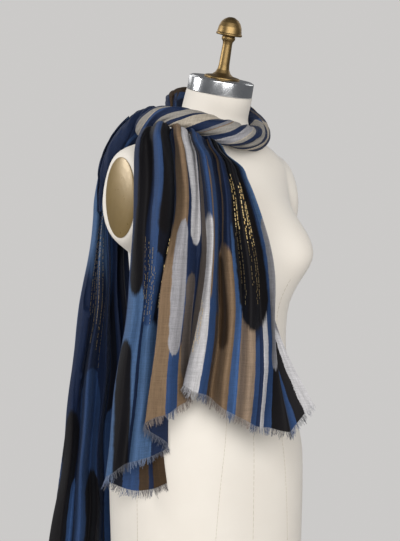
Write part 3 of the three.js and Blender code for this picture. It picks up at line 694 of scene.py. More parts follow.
def rounded_ends(nodes, place, fold, unit, ends):
    """The height in metres where the lower stripes give way, lower at each stripe's edges."""
    heights = [(at / unit, (z - ENDS_BOTTOM) / ENDS_SPAN) for at, z in ends]
    edges = [at / unit for at, _ in ends] + [1.0]
    left = nodes.ramp(place, list(zip(edges, edges)), "CONSTANT")
    right = nodes.ramp(place, list(zip(edges, edges[1:])), "CONSTANT")
    wide = nodes.minus(right, left)
    off = nodes.fit(nodes.math("DIVIDE", nodes.minus(place, left), wide), 2.0, -1.0)
    fall = nodes.times(nodes.times(off, off), wide)
    top = nodes.ramp(place, heights, "CONSTANT")
    top = nodes.fit(top, ENDS_SPAN * MM, ENDS_BOTTOM * MM)
    return nodes.fit(fall, -ENDS_ROUND * fold * unit, top)


def woven_stripes(nodes, u, v, fold, unit, upper, lower, ends, bars, slant, blur):
    """The stripes' colour, with edges that waver by a thread or two."""
    drift = nodes.minus(nodes.grain(u, v, (0.5, 1), 45.0, 3.0, 0.6), 0.5)
    tooth = nodes.minus(nodes.grain(u, v, (0.15, 1), 1500.0, 1.0), 0.5)
    feather = nodes.minus(nodes.grain(u, v, (1, 0.06), 800.0, 2.0), 0.5)
    woven_u = nodes.math("ADD", u, nodes.fit(tooth, 0.0016, nodes.times(drift, 0.002)))
    woven_v = nodes.fit(feather, 0.016, v)
    place = nodes.math("DIVIDE", woven_u, fold * unit)
    if slant:
        place = nodes.math("FRACT", nodes.fit(v, -slant / unit, place))
    color = nodes.ramp(place, stops(upper, unit), "CONSTANT")
    if lower:
        end = rounded_ends(nodes, place, fold, unit, ends)
        over = nodes.fit(nodes.minus(woven_v, end), 1 / blur, 0.5, clamp=True)
        color = nodes.mix(over, nodes.ramp(place, stops(lower, unit), "CONSTANT"), color)
    for bar in bars:
        mask = bar_mask(nodes, woven_u, woven_v, fold, bar, drift)
        color = nodes.mix(mask, color, linear(bar[-1]))
    return color


def striped_cloth(name, fold, unit, upper, lower=None, ends=None, bars=(), slant=0.0,
                  fade=0.0, blur=0.011):
    """Woven stripes over UV in metres, where each fold is fold metres wide.

    slant shifts the stripes, in folds for each metre of length, and then they repeat. fade
    pales the yarn, partly to the loose threads' own lighter colour and partly as painted light
    against the shade on each thread, and blur is how softly the upper set gives way to the lower
    one.
    """
    nodes = Nodes(name)
    coordinates = nodes.add("UVMap", uv_map="UVMap").outputs[0]
    split = nodes.add("SeparateXYZ")
    nodes.feed(split.inputs[0], coordinates)
    u, v = split.outputs[0], split.outputs[1]
    color = woven_stripes(nodes, u, v, fold, unit, upper, lower, ends, bars, slant, blur)
    if fade:
        # Paling towards the pale yarn colour: partly the fringe's own colour, partly painted
        # light.
        color = nodes.mix(fade, color, linear(PALE_YARN_AND_LIGHT))
    streak = nodes.grain(u, v, (1, 0.04), 520.0, 3.0, 0.85)
    cross = nodes.grain(u, v, (0.06, 1), 480.0, 3.0, 0.85)
    shade = nodes.fit(streak, 1.15, -0.42)
    shade = nodes.fit(cross, 0.85, shade)
    shade = nodes.fit(nodes.noise(coordinates, 700.0, 2.0, 0.8), 0.6, shade)
    shade = nodes.fit(nodes.noise(coordinates, 14.0, 2.0), 0.24, shade)
    grey = nodes.vector(shade, shade, shade)
    nodes.set(Base_Color=nodes.mix(1.0, color, grey, "MULTIPLY"))
    nodes.set(Roughness=nodes.fit(streak, 0.2, 0.6))
    nodes.set(Sheen_Weight=0.07, Sheen_Roughness=0.35, Specular_IOR_Level=0.22)
    nodes.set(Sheen_Tint=linear(SHEEN))
    nodes.set(Normal=nodes.bump(threads(nodes, u, v), 0.0002, 0.8))
    return nodes.material


def linen_cloth(name, color, dark):
    nodes = Nodes(name)
    where = nodes.add("TexCoord").outputs["Object"]
    weave = nodes.noise(where, 2200.0, 2.0)
    cloud = nodes.noise(where, 9.0, 3.0)
    tint = nodes.fit(weave, 0.35, nodes.times(cloud, 0.65))
    nodes.set(Base_Color=nodes.ramp(tint, [(0.25, dark), (0.75, color)]))
    nodes.set(Roughness=nodes.fit(weave, 0.15, 0.6))
    nodes.set(Sheen_Weight=0.25, Sheen_Roughness=0.5, Specular_IOR_Level=0.35)
    nodes.set(Normal=nodes.bump(weave, 0.00015, 0.6))
    return nodes.material


def metal(name, color, dark, roughness, metallic, scale):
    nodes = Nodes(name)
    where = nodes.add("TexCoord").outputs["Object"]
    cloud = nodes.noise(where, scale, 4.0)
    fine = nodes.noise(where, scale * 12, 2.0)
    nodes.set(Base_Color=nodes.ramp(cloud, [(0.3, dark), (0.65, color)]))
    nodes.set(Roughness=nodes.fit(fine, 0.12, roughness - 0.06))
    nodes.set(Metallic=metallic)
    nodes.set(Normal=nodes.bump(fine, 0.0001, 0.25))
    return nodes.material


NAVY = "#12213e"
DEEP = "#090e1c"
BLACK = "#09070b"
BLUE = "#273f66"
BRIGHT = "#3a5885"
STEEL = "#415c80"
TAN = "#745f49"
PALE_TAN = "#867361"
BROWN = "#3d2d1c"
TAUPE = "#574f4a"
GREY = "#747479"
PALE = "#8e8d91"
STONE = "#8d8983"
WHITE = "#b3b2b4"
CREAM = "#a59c8e"
# The fringe's pale yarn colour: partly its own colour, partly painted light against each thread's
# shade.
PALE_YARN_AND_LIGHT = "#b9bcc6"
SHEEN = "#c8d0e0"
LINEN = ("#e7e2d9", "#ddd6cc")
SEAM_THREAD = ("#b5a88f", "#9a8d76")
METALS = {  # colour, darker colour, roughness, metallic share, scale of the cloudiness
    "gold_thread": ("#ffe7ac", "#dcb266", 0.42, 0.25, 300.0),
    "brass": ("#927a52", "#7c6743", 0.46, 1.0, 60.0),
    "steel": ("#eceef0", "#dcdfe3", 0.2, 1.0, 40.0),
    "iron": ("#34322f", "#201f1d", 0.5, 0.7, 40.0),
    "plate_gloss": ("#88734a", "#786540", 0.3, 0.2, 12.0),
}

# The bars' ends and edges, and the lower stripes' ends
BAR_ROUND = 0.45
BAR_RAGGED = 0.22
BAR_SOFT = 0.0014
BAR_SOFT_DARK = 0.0035
ENDS_BOTTOM = 800
ENDS_SPAN = 600
ENDS_ROUND = 0.55

# Woven stripes, by fold place and colour: an upper set, a lower set, and the height in
# millimetres at which each stripe of the lower set gives way to the upper set. In the
# fall's upper set the deep stripe from 6.0 to 7.3 is painted shade along a fold valley.
FALL_STRIPES_TOP = (
    # (6.0, DEEP) here is painted shade: it darkens the fold valley from 6.0 to 7.3, down to about
    # 1100 mm.
    (0, DEEP), (2.9, BLUE), (3.3, NAVY), (5.4, BLUE), (6.0, DEEP), (7.3, STEEL),
    (8.6, NAVY), (9.3, TAN), (11.4, NAVY), (13.4, TAUPE), (14.0, NAVY), (14.5, BLUE),
    (15.2, TAN), (15.45, BLUE), (16.2, NAVY), (17.2, TAN), (17.45, NAVY), (21.8, BLUE),
    (22.1, STEEL), (22.8, NAVY), (23.4, BLUE), (24.3, GREY),
)
FALL_STRIPES_LOW = (
    (0, BROWN), (0.85, NAVY), (1.1, BROWN), (1.6, BLUE), (2.3, DEEP), (2.9, BLUE),
    (3.25, STEEL), (5.1, NAVY), (5.4, STEEL), (6.7, NAVY), (9.3, TAN), (10.8, BLUE),
    (11.9, TAN), (13.3, TAUPE), (14.05, WHITE), (15.3, BLUE), (16.1, BROWN), (16.6, TAN),
    (18.3, BRIGHT), (19.1, PALE_TAN), (20.4, BLUE), (20.8, NAVY), (21.1, WHITE),
    (21.5, BLUE), (22.1, BLACK), (23.4, BLUE), (24.2, BLACK), (24.55, WHITE),
)
FALL_ENDS = (
    (0, 1010), (1.6, 1060), (2.9, 1150), (5.1, 1090), (6.7, 1120), (9.3, 1092), (10.8, 1160),
    (11.9, 1060), (13.3, 1190), (14.05, 1252), (15.3, 1130), (16.1, 1100), (16.6, 1206),
    (18.3, 1240), (19.1, 1118), (20.4, 1060), (21.1, 1176), (21.5, 1240), (22.1, 1050),
    (23.4, 1080),
)
# Soft-ended bars: fold place and height in millimetres at the upper and the lower end, half
# width in folds, colour. The black bar at 6.75 is painted shade at the top of a fold valley.
FALL_BARS = (
    (4.95, 1430, 4.15, 1142, 0.74, BLACK), (3.85, 1040, 4.95, 790, 0.74, BLACK),
    # The black bar at 6.75, from 1430 to 1236 mm, is painted shade in the fold valley.
    (6.75, 1430, 6.5, 1236, 0.55, BLACK), (8.95, 1226, 8.8, 1126, 0.48, TAN),
    (12.35, 1430, 12.6, 1222, 0.78, WHITE), (10.95, 1232, 11.3, 1046, 0.62, PALE),
    (12.3, 1150, 12.75, 1000, 0.55, TAUPE), (6.1, 1180, 5.8, 1090, 0.55, BLUE),
    (20.05, 1395, 20.35, 1106, 1.55, BLACK), (17.0, 1180, 17.4, 1052, 0.5, BROWN),
    (22.75, 1236, 22.45, 1020, 0.5, GREY), (7.9, 1084, 7.8, 990, 0.5, DEEP),
    (2.6, 1300, 2.4, 1120, 0.5, NAVY), (1.0, 1180, 1.2, 1060, 0.6, DEEP),
)
TAIL_STRIPES_TOP = (
    (0, NAVY), (0.7, STEEL), (2.6, BLUE), (3.2, STEEL), (5.6, BLUE), (7.4, NAVY),
    (9.4, DEEP), (11.2, NAVY),
)
TAIL_STRIPES_LOW = (
    (0, NAVY), (0.8, BLUE), (1.2, NAVY), (7.0, DEEP), (7.6, NAVY), (9.6, DEEP),
)
TAIL_ENDS = (
    (0, 1120), (0.8, 1180), (2.6, 1215), (3.2, 1175), (5.6, 1200), (7.0, 1150), (9.6, 1100),
)
TAIL_BARS = (
    (6.0, 1700, 6.0, 1575, 7.0, NAVY), (4.3, 960, 5.1, 560, 1.3, BLUE),
    (7.7, 900, 8.4, 560, 0.9, BLUE), (2.0, 900, 1.6, 560, 0.85, BLACK),
    (5.4, 796, 5.9, 560, 0.95, BLACK), (9.4, 846, 10.0, 560, 0.9, BLACK),
    (2.9, 800, 3.0, 560, 0.35, BRIGHT), (0.3, 1040, 0.3, 840, 0.4, DEEP),
    (11.0, 940, 11.3, 640, 0.6, BLUE),
)
# Stripes of the rolls repeat, because the cloth is wound: place in twelfths of the repeat.
ROLL_STRIPES = (
    (0, NAVY), (0.9, STONE), (2.1, NAVY), (2.7, CREAM), (4.2, NAVY), (5.3, GREY), (5.7, TAN),
    (5.85, STONE), (6.9, NAVY), (7.6, PALE), (8.7, CREAM), (8.85, STONE), (9.3, NAVY),
    (10.2, STONE), (11.3, CREAM), (11.45, BLUE),
)
# The nape roll's stripes are darker overall than the neck roll's: painted shade behind the neck,
# over the cloth's own navy with a brown edge line.
NAPE_SHADED_STRIPES = (
    (0, TAUPE), (1.4, NAVY), (2.0, BROWN), (3.4, NAVY), (7.6, DEEP), (8.2, NAVY),
    (10.8, BLUE), (11.4, NAVY),
)
SHOULDER_STRIPES = (
    (0, TAUPE), (0.5, NAVY), (5.2, BLUE), (5.8, NAVY), (9.6, DEEP), (10.8, NAVY),
)

# Creases: place across at the upper and the lower end, share of the height at each end,
# how high the ridge stands in millimetres (a trough is below 0) and its half width.
CREASE_COLUMNS = ("top", "low", "start", "end", "height", "width")
FALL_CREASES = (
    (3.6, 3.2, 0, 0.42, 1.6, 0.3), (4.4, 4.1, 0.12, 0.6, -1.8, 0.3),
    (5.6, 5.9, 0, 0.35, 2.2, 0.26), (6.5, 6.9, 0.2, 0.8, 1.8, 0.3),
    (7.2, 7.7, 0, 0.3, -2.2, 0.24), (8.5, 8.9, 0.02, 0.55, 2.2, 0.28),
    (9.6, 9.2, 0.4, 0.93, 1.8, 0.3), (10.6, 10.9, 0, 0.34, 2.4, 0.28),
    (11.3, 11.6, 0.25, 0.85, -2, 0.26), (12.5, 12.2, 0, 0.48, 2, 0.26),
    (13.6, 13.3, 0.45, 0.96, 1.6, 0.26), (14.5, 14.8, 0, 0.4, 2.2, 0.26),
    (15.5, 15.2, 0.3, 0.74, -2, 0.26), (16.4, 16.9, 0, 0.5, 2, 0.26),
    (17.5, 17.8, 0.42, 0.95, 1.8, 0.3), (18.4, 18.7, 0, 0.38, 2, 0.26),
    (19.4, 19.2, 0.22, 0.7, -1.7, 0.28), (20.4, 20.6, 0.02, 0.9, 1.7, 0.3),
    (21.4, 21.3, 0.35, 0.8, 1.4, 0.26), (22.4, 22.2, 0.5, 0.97, 1.6, 0.28),
    (1, 1.2, 0.5, 0.96, 1, 0.25), (2.2, 2, 0.4, 0.9, -1, 0.24),
    (23.6, 23.8, 0.6, 0.97, 1.2, 0.24), (24.4, 24.3, 0.55, 0.95, -1, 0.22),
    (5, 4.6, 0, 0.26, -3, 0.3), (6.2, 6.4, 0, 0.24, -3.2, 0.22), (6.9, 7.2, 0, 0.2, 2.6, 0.2),
    (8, 8.3, 0, 0.3, -3.4, 0.26), (9.3, 9.6, 0, 0.26, -3, 0.24), (10, 10.2, 0, 0.2, 2.4, 0.2),
    (11.5, 11.9, 0, 0.34, -3.4, 0.26), (13.4, 13.4, 0, 0.3, -3.2, 0.28),
    (15.3, 15.6, 0, 0.26, -3, 0.24), (17.4, 17.6, 0, 0.3, -3.2, 0.26),
    (19.2, 19.3, 0, 0.24, -2.6, 0.26), (21, 21.2, 0, 0.22, -2.4, 0.24),
    (12.9, 13.1, 0.02, 0.18, 2.2, 0.18), (16.6, 16.8, 0, 0.2, 2.4, 0.2),
)
TAIL_CREASES = (
    (0.8, 0.6, 0, 0.5, 2.2, 0.3), (2.4, 2.9, 0.12, 0.85, 2.2, 0.32), (3.4, 3.2, 0, 0.4, -2, 0.28),
    (4.6, 5.2, 0.04, 0.7, 2.4, 0.32), (5.6, 6.3, 0.4, 0.97, -2, 0.3),
    (6.5, 6.7, 0, 0.55, 2.2, 0.28), (7.6, 7.9, 0.3, 0.9, 2.2, 0.32),
    (8.6, 8.4, 0.02, 0.6, -2, 0.28), (9.5, 9.7, 0.2, 0.95, 2.2, 0.3),
    (10.6, 10.4, 0, 0.7, 2, 0.28), (11.5, 11.4, 0.3, 0.9, -1.8, 0.28),
)
ROLL_CREASES = (
    (-3, 0.4, 0, 0.4, 1.9, 0.3), (-0.6, 3.4, 0.02, 0.46, -2, 0.26), (0.6, 4.6, 0, 0.5, 2.2, 0.32),
    (2, 6.2, 0.06, 0.56, -2.2, 0.26), (3, 7.6, 0, 0.52, 2.4, 0.32),
    (4.6, 9.4, 0.04, 0.6, -2.2, 0.24), (5.4, 10.4, 0, 0.58, 2.2, 0.3),
    (7.2, 11.6, 0.02, 0.54, -2, 0.24), (8, 12.2, 0, 0.5, 2.3, 0.3), (9.6, 13, 0, 0.4, -2, 0.24),
    (10.6, 13, 0, 0.28, 2, 0.28), (-1, 3.6, 0.44, 0.96, 2.2, 0.3), (0.4, 5, 0.46, 1, -2.2, 0.26),
    (1.6, 6.4, 0.4, 0.98, 2.4, 0.32), (3.2, 7.6, 0.5, 1, -2, 0.24),
    (4.4, 8.8, 0.48, 0.97, 2.2, 0.3), (6, 10.6, 0.45, 1, -2.2, 0.24),
    (7.2, 11.8, 0.5, 0.98, 2.4, 0.3), (8.8, 13, 0.52, 1, -2, 0.24),
    (10, 13.6, 0.46, 0.9, 2.1, 0.28),
)

# Metallic threads: place across, height at the upper and the lower end in millimetres.
FALL_GOLD = (
    (5.15, 1216, 1120), (5.45, 1208, 1084), (5.75, 1200, 1095), (6.0, 1170, 1080),
    (8.75, 1222, 1130), (9.05, 1212, 1112), (9.3, 1200, 1108),
    (19.15, 1308, 1142), (19.5, 1316, 1110), (20.25, 1296, 1140), (20.6, 1302, 1112),
    (20.95, 1272, 1120), (14.2, 1118, 1040), (14.5, 1104, 1052),
)
TAIL_GOLD = (
    (2.5, 1236, 1062), (3.0, 1262, 1090), (3.5, 1226, 1040), (4.0, 1256, 1074),
    (4.5, 1218, 1030), (5.0, 1190, 1000),
)

# Lines sewn on the form: degrees from straight ahead, and height in millimetres. The side
# seams are on both sides.
FORM_SEAMS = (
    ((-2, 1130), (-2, 1100), (-2, 1000), (-2, 900), (-2, 800), (-2, 700), (-2, 664)),
    ((180, 1440), (180, 1300), (180, 1060), (180, 860), (180, 664)),
)
SIDE_SEAMS = (
    ((28, 1150), (26, 1060), (25, 960), (26, 900), (30, 820), (33, 740), (35, 664)),
    ((82, 1200), (82, 1060), (81, 900), (81, 760), (81, 664)),
    ((142, 1330), (144, 1180), (145, 1060), (146, 860), (147, 664)),
    ((-3, 1180), (5, 1166), (14, 1150)),
)


def creased(grid, rows, unit):
    """A grid with soft ridges and troughs raised along its normals."""
    v = np.linspace(0, 1, grid.shape[0])[:, None]
    u = np.linspace(0, unit, grid.shape[1])[None, :]
    lift = np.zeros(grid.shape[:2])
    for row in rows:
        crease = dict(zip(CREASE_COLUMNS, row))
        along = np.clip((v - crease["start"]) / (crease["end"] - crease["start"]), 0, 1)
        middle = crease["top"] + (crease["low"] - crease["top"]) * along
        fade = np.sin(math.pi * along) ** 0.8
        lift += crease["height"] * fade * np.exp(-(((u - middle) / crease["width"]) ** 2))
    return grid + grid_normals(grid) * lift[..., None]


# The form

def form_piece():
    heights = np.concatenate([FORM_FOOT, np.linspace(FORM_FOOT[-1] + 6, NECK_TOP, FORM_RINGS)])
    angle = -math.pi + np.arange(FORM_SIDES) * 2 * math.pi / FORM_SIDES
    z = np.repeat(heights[:, None], FORM_SIDES, 1)
    radius = form_radius(np.repeat(angle[None, :], len(heights), 0), z)
    back = radius * np.sin(angle)[None, :]
    lean = math.tan(NECK_TILT) * smoothstep(z, NECK_LEANS, NECK_TOP)
    rings = np.stack([radius * np.cos(angle), back - section("forward", z), z + back * lean], -1)
    verts, faces = ringed_mesh(rings, rings[0].mean(0), rings[-1].mean(0))
    linen = linen_cloth("linen", *LINEN)
    finish_mesh("form_body_cover", verts, faces, None, linen, 50, "form_body")


def on_form(degrees, z, out):
    """Points a little outside the form's surface, at degrees from straight ahead."""
    angle = np.radians(degrees - 90)
    radius = form_radius(angle, z) + out
    x, y = radius * np.cos(angle), radius * np.sin(angle) - section("forward", z)
    return np.stack([x, y, z], -1)


def tube(points, width, height):
    """Vertices and faces of a closed thin tube of 4 sides along points."""
    points = np.asarray(points, float)
    ahead = unit_length(np.gradient(points, axis=0))
    side = np.cross(ahead, (0.02, 0.03, 1.0))
    weak = np.linalg.norm(side, axis=1) < 0.2
    side[weak] = np.cross(ahead[weak], (1.0, 0.05, 0.0))
    side = unit_length(side)
    up = np.cross(side, ahead)
    side, up = side * width / 2, up * height / 2
    corners = [side, up, -side, -up]
    verts = np.stack([points + c for c in corners], 1).reshape(-1, 3)
    faces = []
    for r in range(len(points) - 1):
        for i in range(4):
            j = (i + 1) % 4
            a = 4 * r
            faces.append((a + j, a + i, a + 4 + i, a + 4 + j))
    end = 4 * (len(points) - 1)
    faces.append((0, 1, 2, 3))
    faces.append((end + 3, end + 2, end + 1, end))
    return verts, faces


def joined(parts):
    """One mesh from many (vertices, faces) pairs."""
    verts, faces, start = [], [], 0
    for part_verts, part_faces in parts:
        verts.append(part_verts)
        faces.extend(tuple(i + start for i in face) for face in part_faces)
        start += len(part_verts)
    return np.concatenate(verts), faces


def form_seams(thread):
    """Seam lines: a fine cord let into the cover, with a stitch every few millimetres."""
    seams = [np.array(seam, float) for seam in FORM_SEAMS]
    for seam in SIDE_SEAMS:
        seams.extend(np.array(seam, float) * (side, 1) for side in (-1, 1))
    parts = []
    for seam in seams:
        length = np.abs(np.diff(seam[:, 1])).sum() + 2.5 * np.abs(np.diff(seam[:, 0])).sum()
        count = max(int(length / STITCH_STEP), 6)
        at = curve_through(np.arange(len(seam)), seam, np.linspace(0, len(seam) - 1, count))
        for a, b in zip(at, at[1:]):
            stitch = np.linspace(a, a + (b - a) * STITCH_SHARE, 4)
            line = on_form(stitch[:, 0], stitch[:, 1], 0.12)
            parts.append(tube(line, STITCH_WIDE, STITCH_TALL))
    verts, faces = joined(parts)
    finish_mesh("form_seams", verts, faces, None, thread)


def neck_top_pieces(steel, brass):
    origin = (0, -float(section("forward", NECK_TOP)), NECK_TOP)
    top = BAND_HEIGHT + 1.5
    band = [
        (0, GAP), (BAND_RADIUS - 0.6, GAP), (BAND_RADIUS, GAP + 0.8),
        (BAND_RADIUS, BAND_HEIGHT - 1.2), (BAND_RADIUS - 0.8, BAND_HEIGHT),
        (BAND_RADIUS - 2.4, BAND_HEIGHT + 0.4), (BAND_RADIUS - 4, top), (0, top),
    ]
    low = top + GAP
    rim = KNOB_HEIGHT - 30
    knob = [
        (0, low), (30, low), (30, low + 2.2), (27, low + 3.4), (18, low + 5),
        (13, low + 9), (10, low + 15), (9, low + 22), (8, rim - 15), (8.6, rim - 11),
        (11, rim - 7.5), (11.6, rim - 5), (11, rim - 2.6), (10, rim - 1.6),
        (20.5, rim - 0.6), (KNOB_RADIUS, rim + 0.4), (KNOB_RADIUS, rim + 2.6),
        (KNOB_RADIUS - 1.3, rim + 3.6), (KNOB_RADIUS - 1.9, rim + 8),
        (KNOB_RADIUS - 3, rim + 14), (KNOB_RADIUS - 6, rim + 21), (12, rim + 25.5),
        (8, rim + 28), (4.5, rim + 29.6), (0, KNOB_HEIGHT),
    ]
    rows = (("neck_band_ring", band, steel, "steel", "neck_band"),
            ("neck_knob_turned", knob, brass, "brass", "neck_knob"))
    for name, profile, material, slot, node in rows:
        verts, faces = lathe_mesh(rounded_profile(profile, 0.8), TURNED_SIDES)
        verts = tilted(verts, NECK_TILT, origin)
        finish_mesh(name, verts, faces, None, material, 35, node)


def armhole_plates(material):
    """The glossy domed oval plates in the armholes."""
    profile = [(0, 0), (1, 0), (1, 0.12), (0.97, 0.24), (0.9, 0.4), (0.8, 0.56),
               (0.6, 0.77), (0.4, 0.9), (0.2, 0.975), (0, 1)]
    for name, side in (("form_right_plate", -1), ("form_left_plate", 1)):
        verts, faces = lathe_mesh(rounded_profile(profile, 0.02, 2), TURNED_SIDES)
        x = side * (ARM_X + GAP + verts[:, 2] * PLATE_THICKNESS)
        y = ARM_BACK + side * verts[:, 1] * PLATE_HALF_DEPTH
        z = ARM_Z - verts[:, 0] * PLATE_HALF_HEIGHT
        if side < 0:
            faces = [face[::-1] for face in faces]
        placed = np.stack([x, y, z], -1)
        finish_mesh(name + "_gloss", placed, faces, None, material, node=name)


def stand_pieces(steel, iron):
    pole_top = FORM_BOTTOM - COLLAR_HEIGHT - GAP
    base = [
        (0, 0), (BASE_RADIUS - 1.5, 0), (BASE_RADIUS, 1.5), (BASE_RADIUS, 7),
        (BASE_RADIUS - 2, 10.5), (BASE_RADIUS - 7, 13.2), (150, 15), (100, 17.2),
        (60, 20), (42, 22.6), (32, 25.6), (26, 29.3), (24, BASE_HEIGHT), (0, BASE_HEIGHT),
    ]
    pole = [
        (0, BASE_HEIGHT + GAP), (POLE_RADIUS, BASE_HEIGHT + GAP),
        (POLE_RADIUS, pole_top - GAP), (0, pole_top - GAP),
    ]
    collar = [
        (0, pole_top), (POLE_RADIUS + 6, pole_top), (POLE_RADIUS + 7.5, pole_top + 2),
        (COLLAR_RADIUS - 2, pole_top + 6.5), (COLLAR_RADIUS, pole_top + 8.5),
        (COLLAR_RADIUS, FORM_BOTTOM - GAP - 1), (COLLAR_RADIUS - 1, FORM_BOTTOM - GAP),
        (0, FORM_BOTTOM - GAP),
    ]
    rows = (("base", base, iron, "iron"), ("pole", pole, steel, "steel"),
            ("collar", collar, iron, "iron"))
    for name, profile, material, slot in rows:
        verts, faces = lathe_mesh(rounded_profile(profile, 1.0), STAND_SIDES)
        node = f"stand_{name}"
        finish_mesh(node + "_turned", verts, faces, None, material, 35, node)


# The scarf

def uv_of(grid, width, along=None):
    """UV in metres: across by fold place, and up by height or by a length along the rows."""
    u = np.linspace(0, width, grid.shape[1])[None, :].repeat(grid.shape[0], 0)
    if along is None:
        v = grid[..., 2] * MM
    else:
        v = np.linspace(0, along, grid.shape[0])[:, None].repeat(grid.shape[1], 1)
    return np.stack([u, v], -1)


def stops(rows, unit):
    return [(place / unit, value) for place, value in rows]


def hem_directions(grid):
    """The way each hem point's thread leaves the cloth."""
    hem = grid[-1]
    away = unit_length(np.cross(np.gradient(hem, axis=0), grid_normals(grid[-3:])[-1]))
    back = (away * (grid[-2] - hem)).sum(1) > 0
    away[back] *= -1
    return away


def between(rows, place):
    """The value at a place between two rows."""
    low = min(int(place), len(rows) - 2)
    return rows[low] + (rows[low + 1] - rows[low]) * (place - low)


def fringe_piece(name, grid, uv, material, node):
    """Loose threads along a hem: thin, uneven, in small clumps, each with a bend."""
    hem = grid[-1]
    away = hem_directions(grid)
    steps = np.linalg.norm(np.diff(hem, axis=0), axis=1)
    place_at = np.concatenate([[0], np.cumsum(steps)])
    count = int(place_at[-1] * FRINGE_PER_MM)
    parts, uvs = [], []
    for i in range(count):
        if i % FRINGE_CLUMP == 0:
            clump = NOISE.normal(0, FRINGE_SPREAD, 3)
        at = (i + NOISE.uniform(0.1, 0.9)) / count * place_at[-1]
        place = np.interp(at, place_at, np.arange(len(hem)))
        root = between(hem, place)
        way = unit_length(between(away, place) + FRINGE_DROP)
        way = way + clump + NOISE.normal(0, FRINGE_STRAY, 3)
        length = FRINGE * NOISE.uniform(0.55, 1.0)
        bend = NOISE.normal(0, FRINGE_BEND, 3)
        middle = root + way * length * 0.55 + bend
        tip = root + way * length + bend * 0.3 + NOISE.normal(0, FRINGE_BEND, 3)
        line = [root - way * 0.8, root + way * length * 0.25 + bend * 0.5, middle, tip]
        verts, faces = tube(line, FRINGE_WIDTH, FRINGE_WIDTH)
        parts.append((verts, faces))
        uvs.append(np.repeat(between(uv[-1], place)[None, :], len(verts), 0))
    verts, faces = joined(parts)
    verts = turned(verts, SCARF_TURN)
    return finish_mesh(name, verts, faces, np.concatenate(uvs), material, node=node)


def gold_piece(name, grid, unit, rows, material):
    """Metallic threads: short raised dashes that come and go along a line of the cloth."""
    normals = grid_normals(grid)
    ahead = unit_length(np.gradient(grid, axis=0))
    per_unit = (grid.shape[1] - 1) / unit
    parts = []
    for place, top, low in rows:
        column = place * per_unit
        heights = grid[:, int(column), 2]
        z = top
        while z > low:
            long = NOISE.uniform(*GOLD_LONG)
            row = int(np.argmin(np.abs(heights - z)))
            c = min(int(round(column + NOISE.normal(0, 0.25))), grid.shape[1] - 1)
            out = normals[row, c] if normals[row, c, 1] < 0 else -normals[row, c]
            middle = grid[row, c] + out * (CLOTH / 2 + GOLD_RAISED)
            middle = middle + ahead[row, c] * (heights[row] - z)
            way = ahead[row, c] * long / 2
            dash = (middle - way, middle + way)
            parts.append(tube(dash, NOISE.uniform(*GOLD_WIDE), GOLD_TALL))
            z -= long + NOISE.exponential(1.1) + 0.5
    verts, faces = joined(parts)
    return finish_mesh(name, turned(verts, SCARF_TURN), faces, None, material)


def end_pieces(side, end, look, grid, fold, pattern, gold_rows, gold, fade, blur):
    """An end's cloth, and its fringe and metallic threads, which all follow one grid."""
    unit = pattern[0]
    uv = uv_of(grid, fold * unit)
    cloth = striped_cloth(look + "_cloth", fold, *pattern, blur=blur)
    # The fringe's yarn is the cloth's stripes paled: partly the loose threads' lighter colour,
    # partly painted light against each thread's shade.
    yarn = striped_cloth(look + "_yarn", fold, *pattern, fade=fade, blur=blur)
    node = f"{side}_{end}"
    piece = cloth_piece(node + "_cloth", grid, uv, cloth, node)
    fringe = fringe_piece(side + "_threads", grid, uv, yarn, side + "_fringe")
    shine = gold_piece(side + "_gold", grid, unit, gold_rows, gold)
    return piece, [fringe, shine]


def fall_pieces(gold):
    unit = len(FALL_FOLDS) - 1
    grid = resampled(wandered(fall_grid(), *FALL_WANDER), *FALL_MESH)
    grid = creased(grid, FALL_CREASES, unit)
    grid = clear_of_roll(grid, LOOP, LOOP_CUT, FALL_CLEARANCE)
    grid = clear_of_form(grid, CLEARANCE)
    pattern = (unit, FALL_STRIPES_TOP, FALL_STRIPES_LOW, FALL_ENDS, FALL_BARS)
    piece, trim = end_pieces("scarf_front", "fall", "striped", grid,
                             FALL_FOLD, pattern, FALL_GOLD, gold, fade=0.22, blur=0.011)


def tail_pieces(gold):
    unit = len(TAIL_FOLDS) - 1
    grid = resampled(wandered(tail_grid(), *TAIL_WANDER), *TAIL_MESH)
    grid = creased(grid, TAIL_CREASES, unit)
    grid = clear_of_roll(grid, ROLL_SHOULDER + SHOULDER_END, 0, TAIL_CLEARANCE)
    grid = clear_of_form(grid, CLEARANCE)
    pattern = (unit, TAIL_STRIPES_TOP, TAIL_STRIPES_LOW, TAIL_ENDS, TAIL_BARS)
    piece, trim = end_pieces("scarf_back", "tail", "tail", grid,
                             TAIL_FOLD, pattern, TAIL_GOLD, gold, fade=0.12, blur=0.05)


def roll_piece(node, rows, span, turns, size, stripes, flat, slant, closed):
    """A stretch of the scarf rolled up. slant is how far the stripes shift along it."""
    name = node + "_cloth"
    grid = roll_grid(rows, span, turns, size, closed)
    grid = creased(grid, ROLL_CREASES, ROLL_UNIT)
    grid = clear_of_form(grid, CLEARANCE)
    uv = uv_of(grid, *flat)
    cloth = striped_cloth(name + "_weave", flat[0] / ROLL_UNIT, ROLL_UNIT, stripes,
                          slant=slant / flat[1])
    piece = cloth_piece(name, grid, uv, cloth, node)


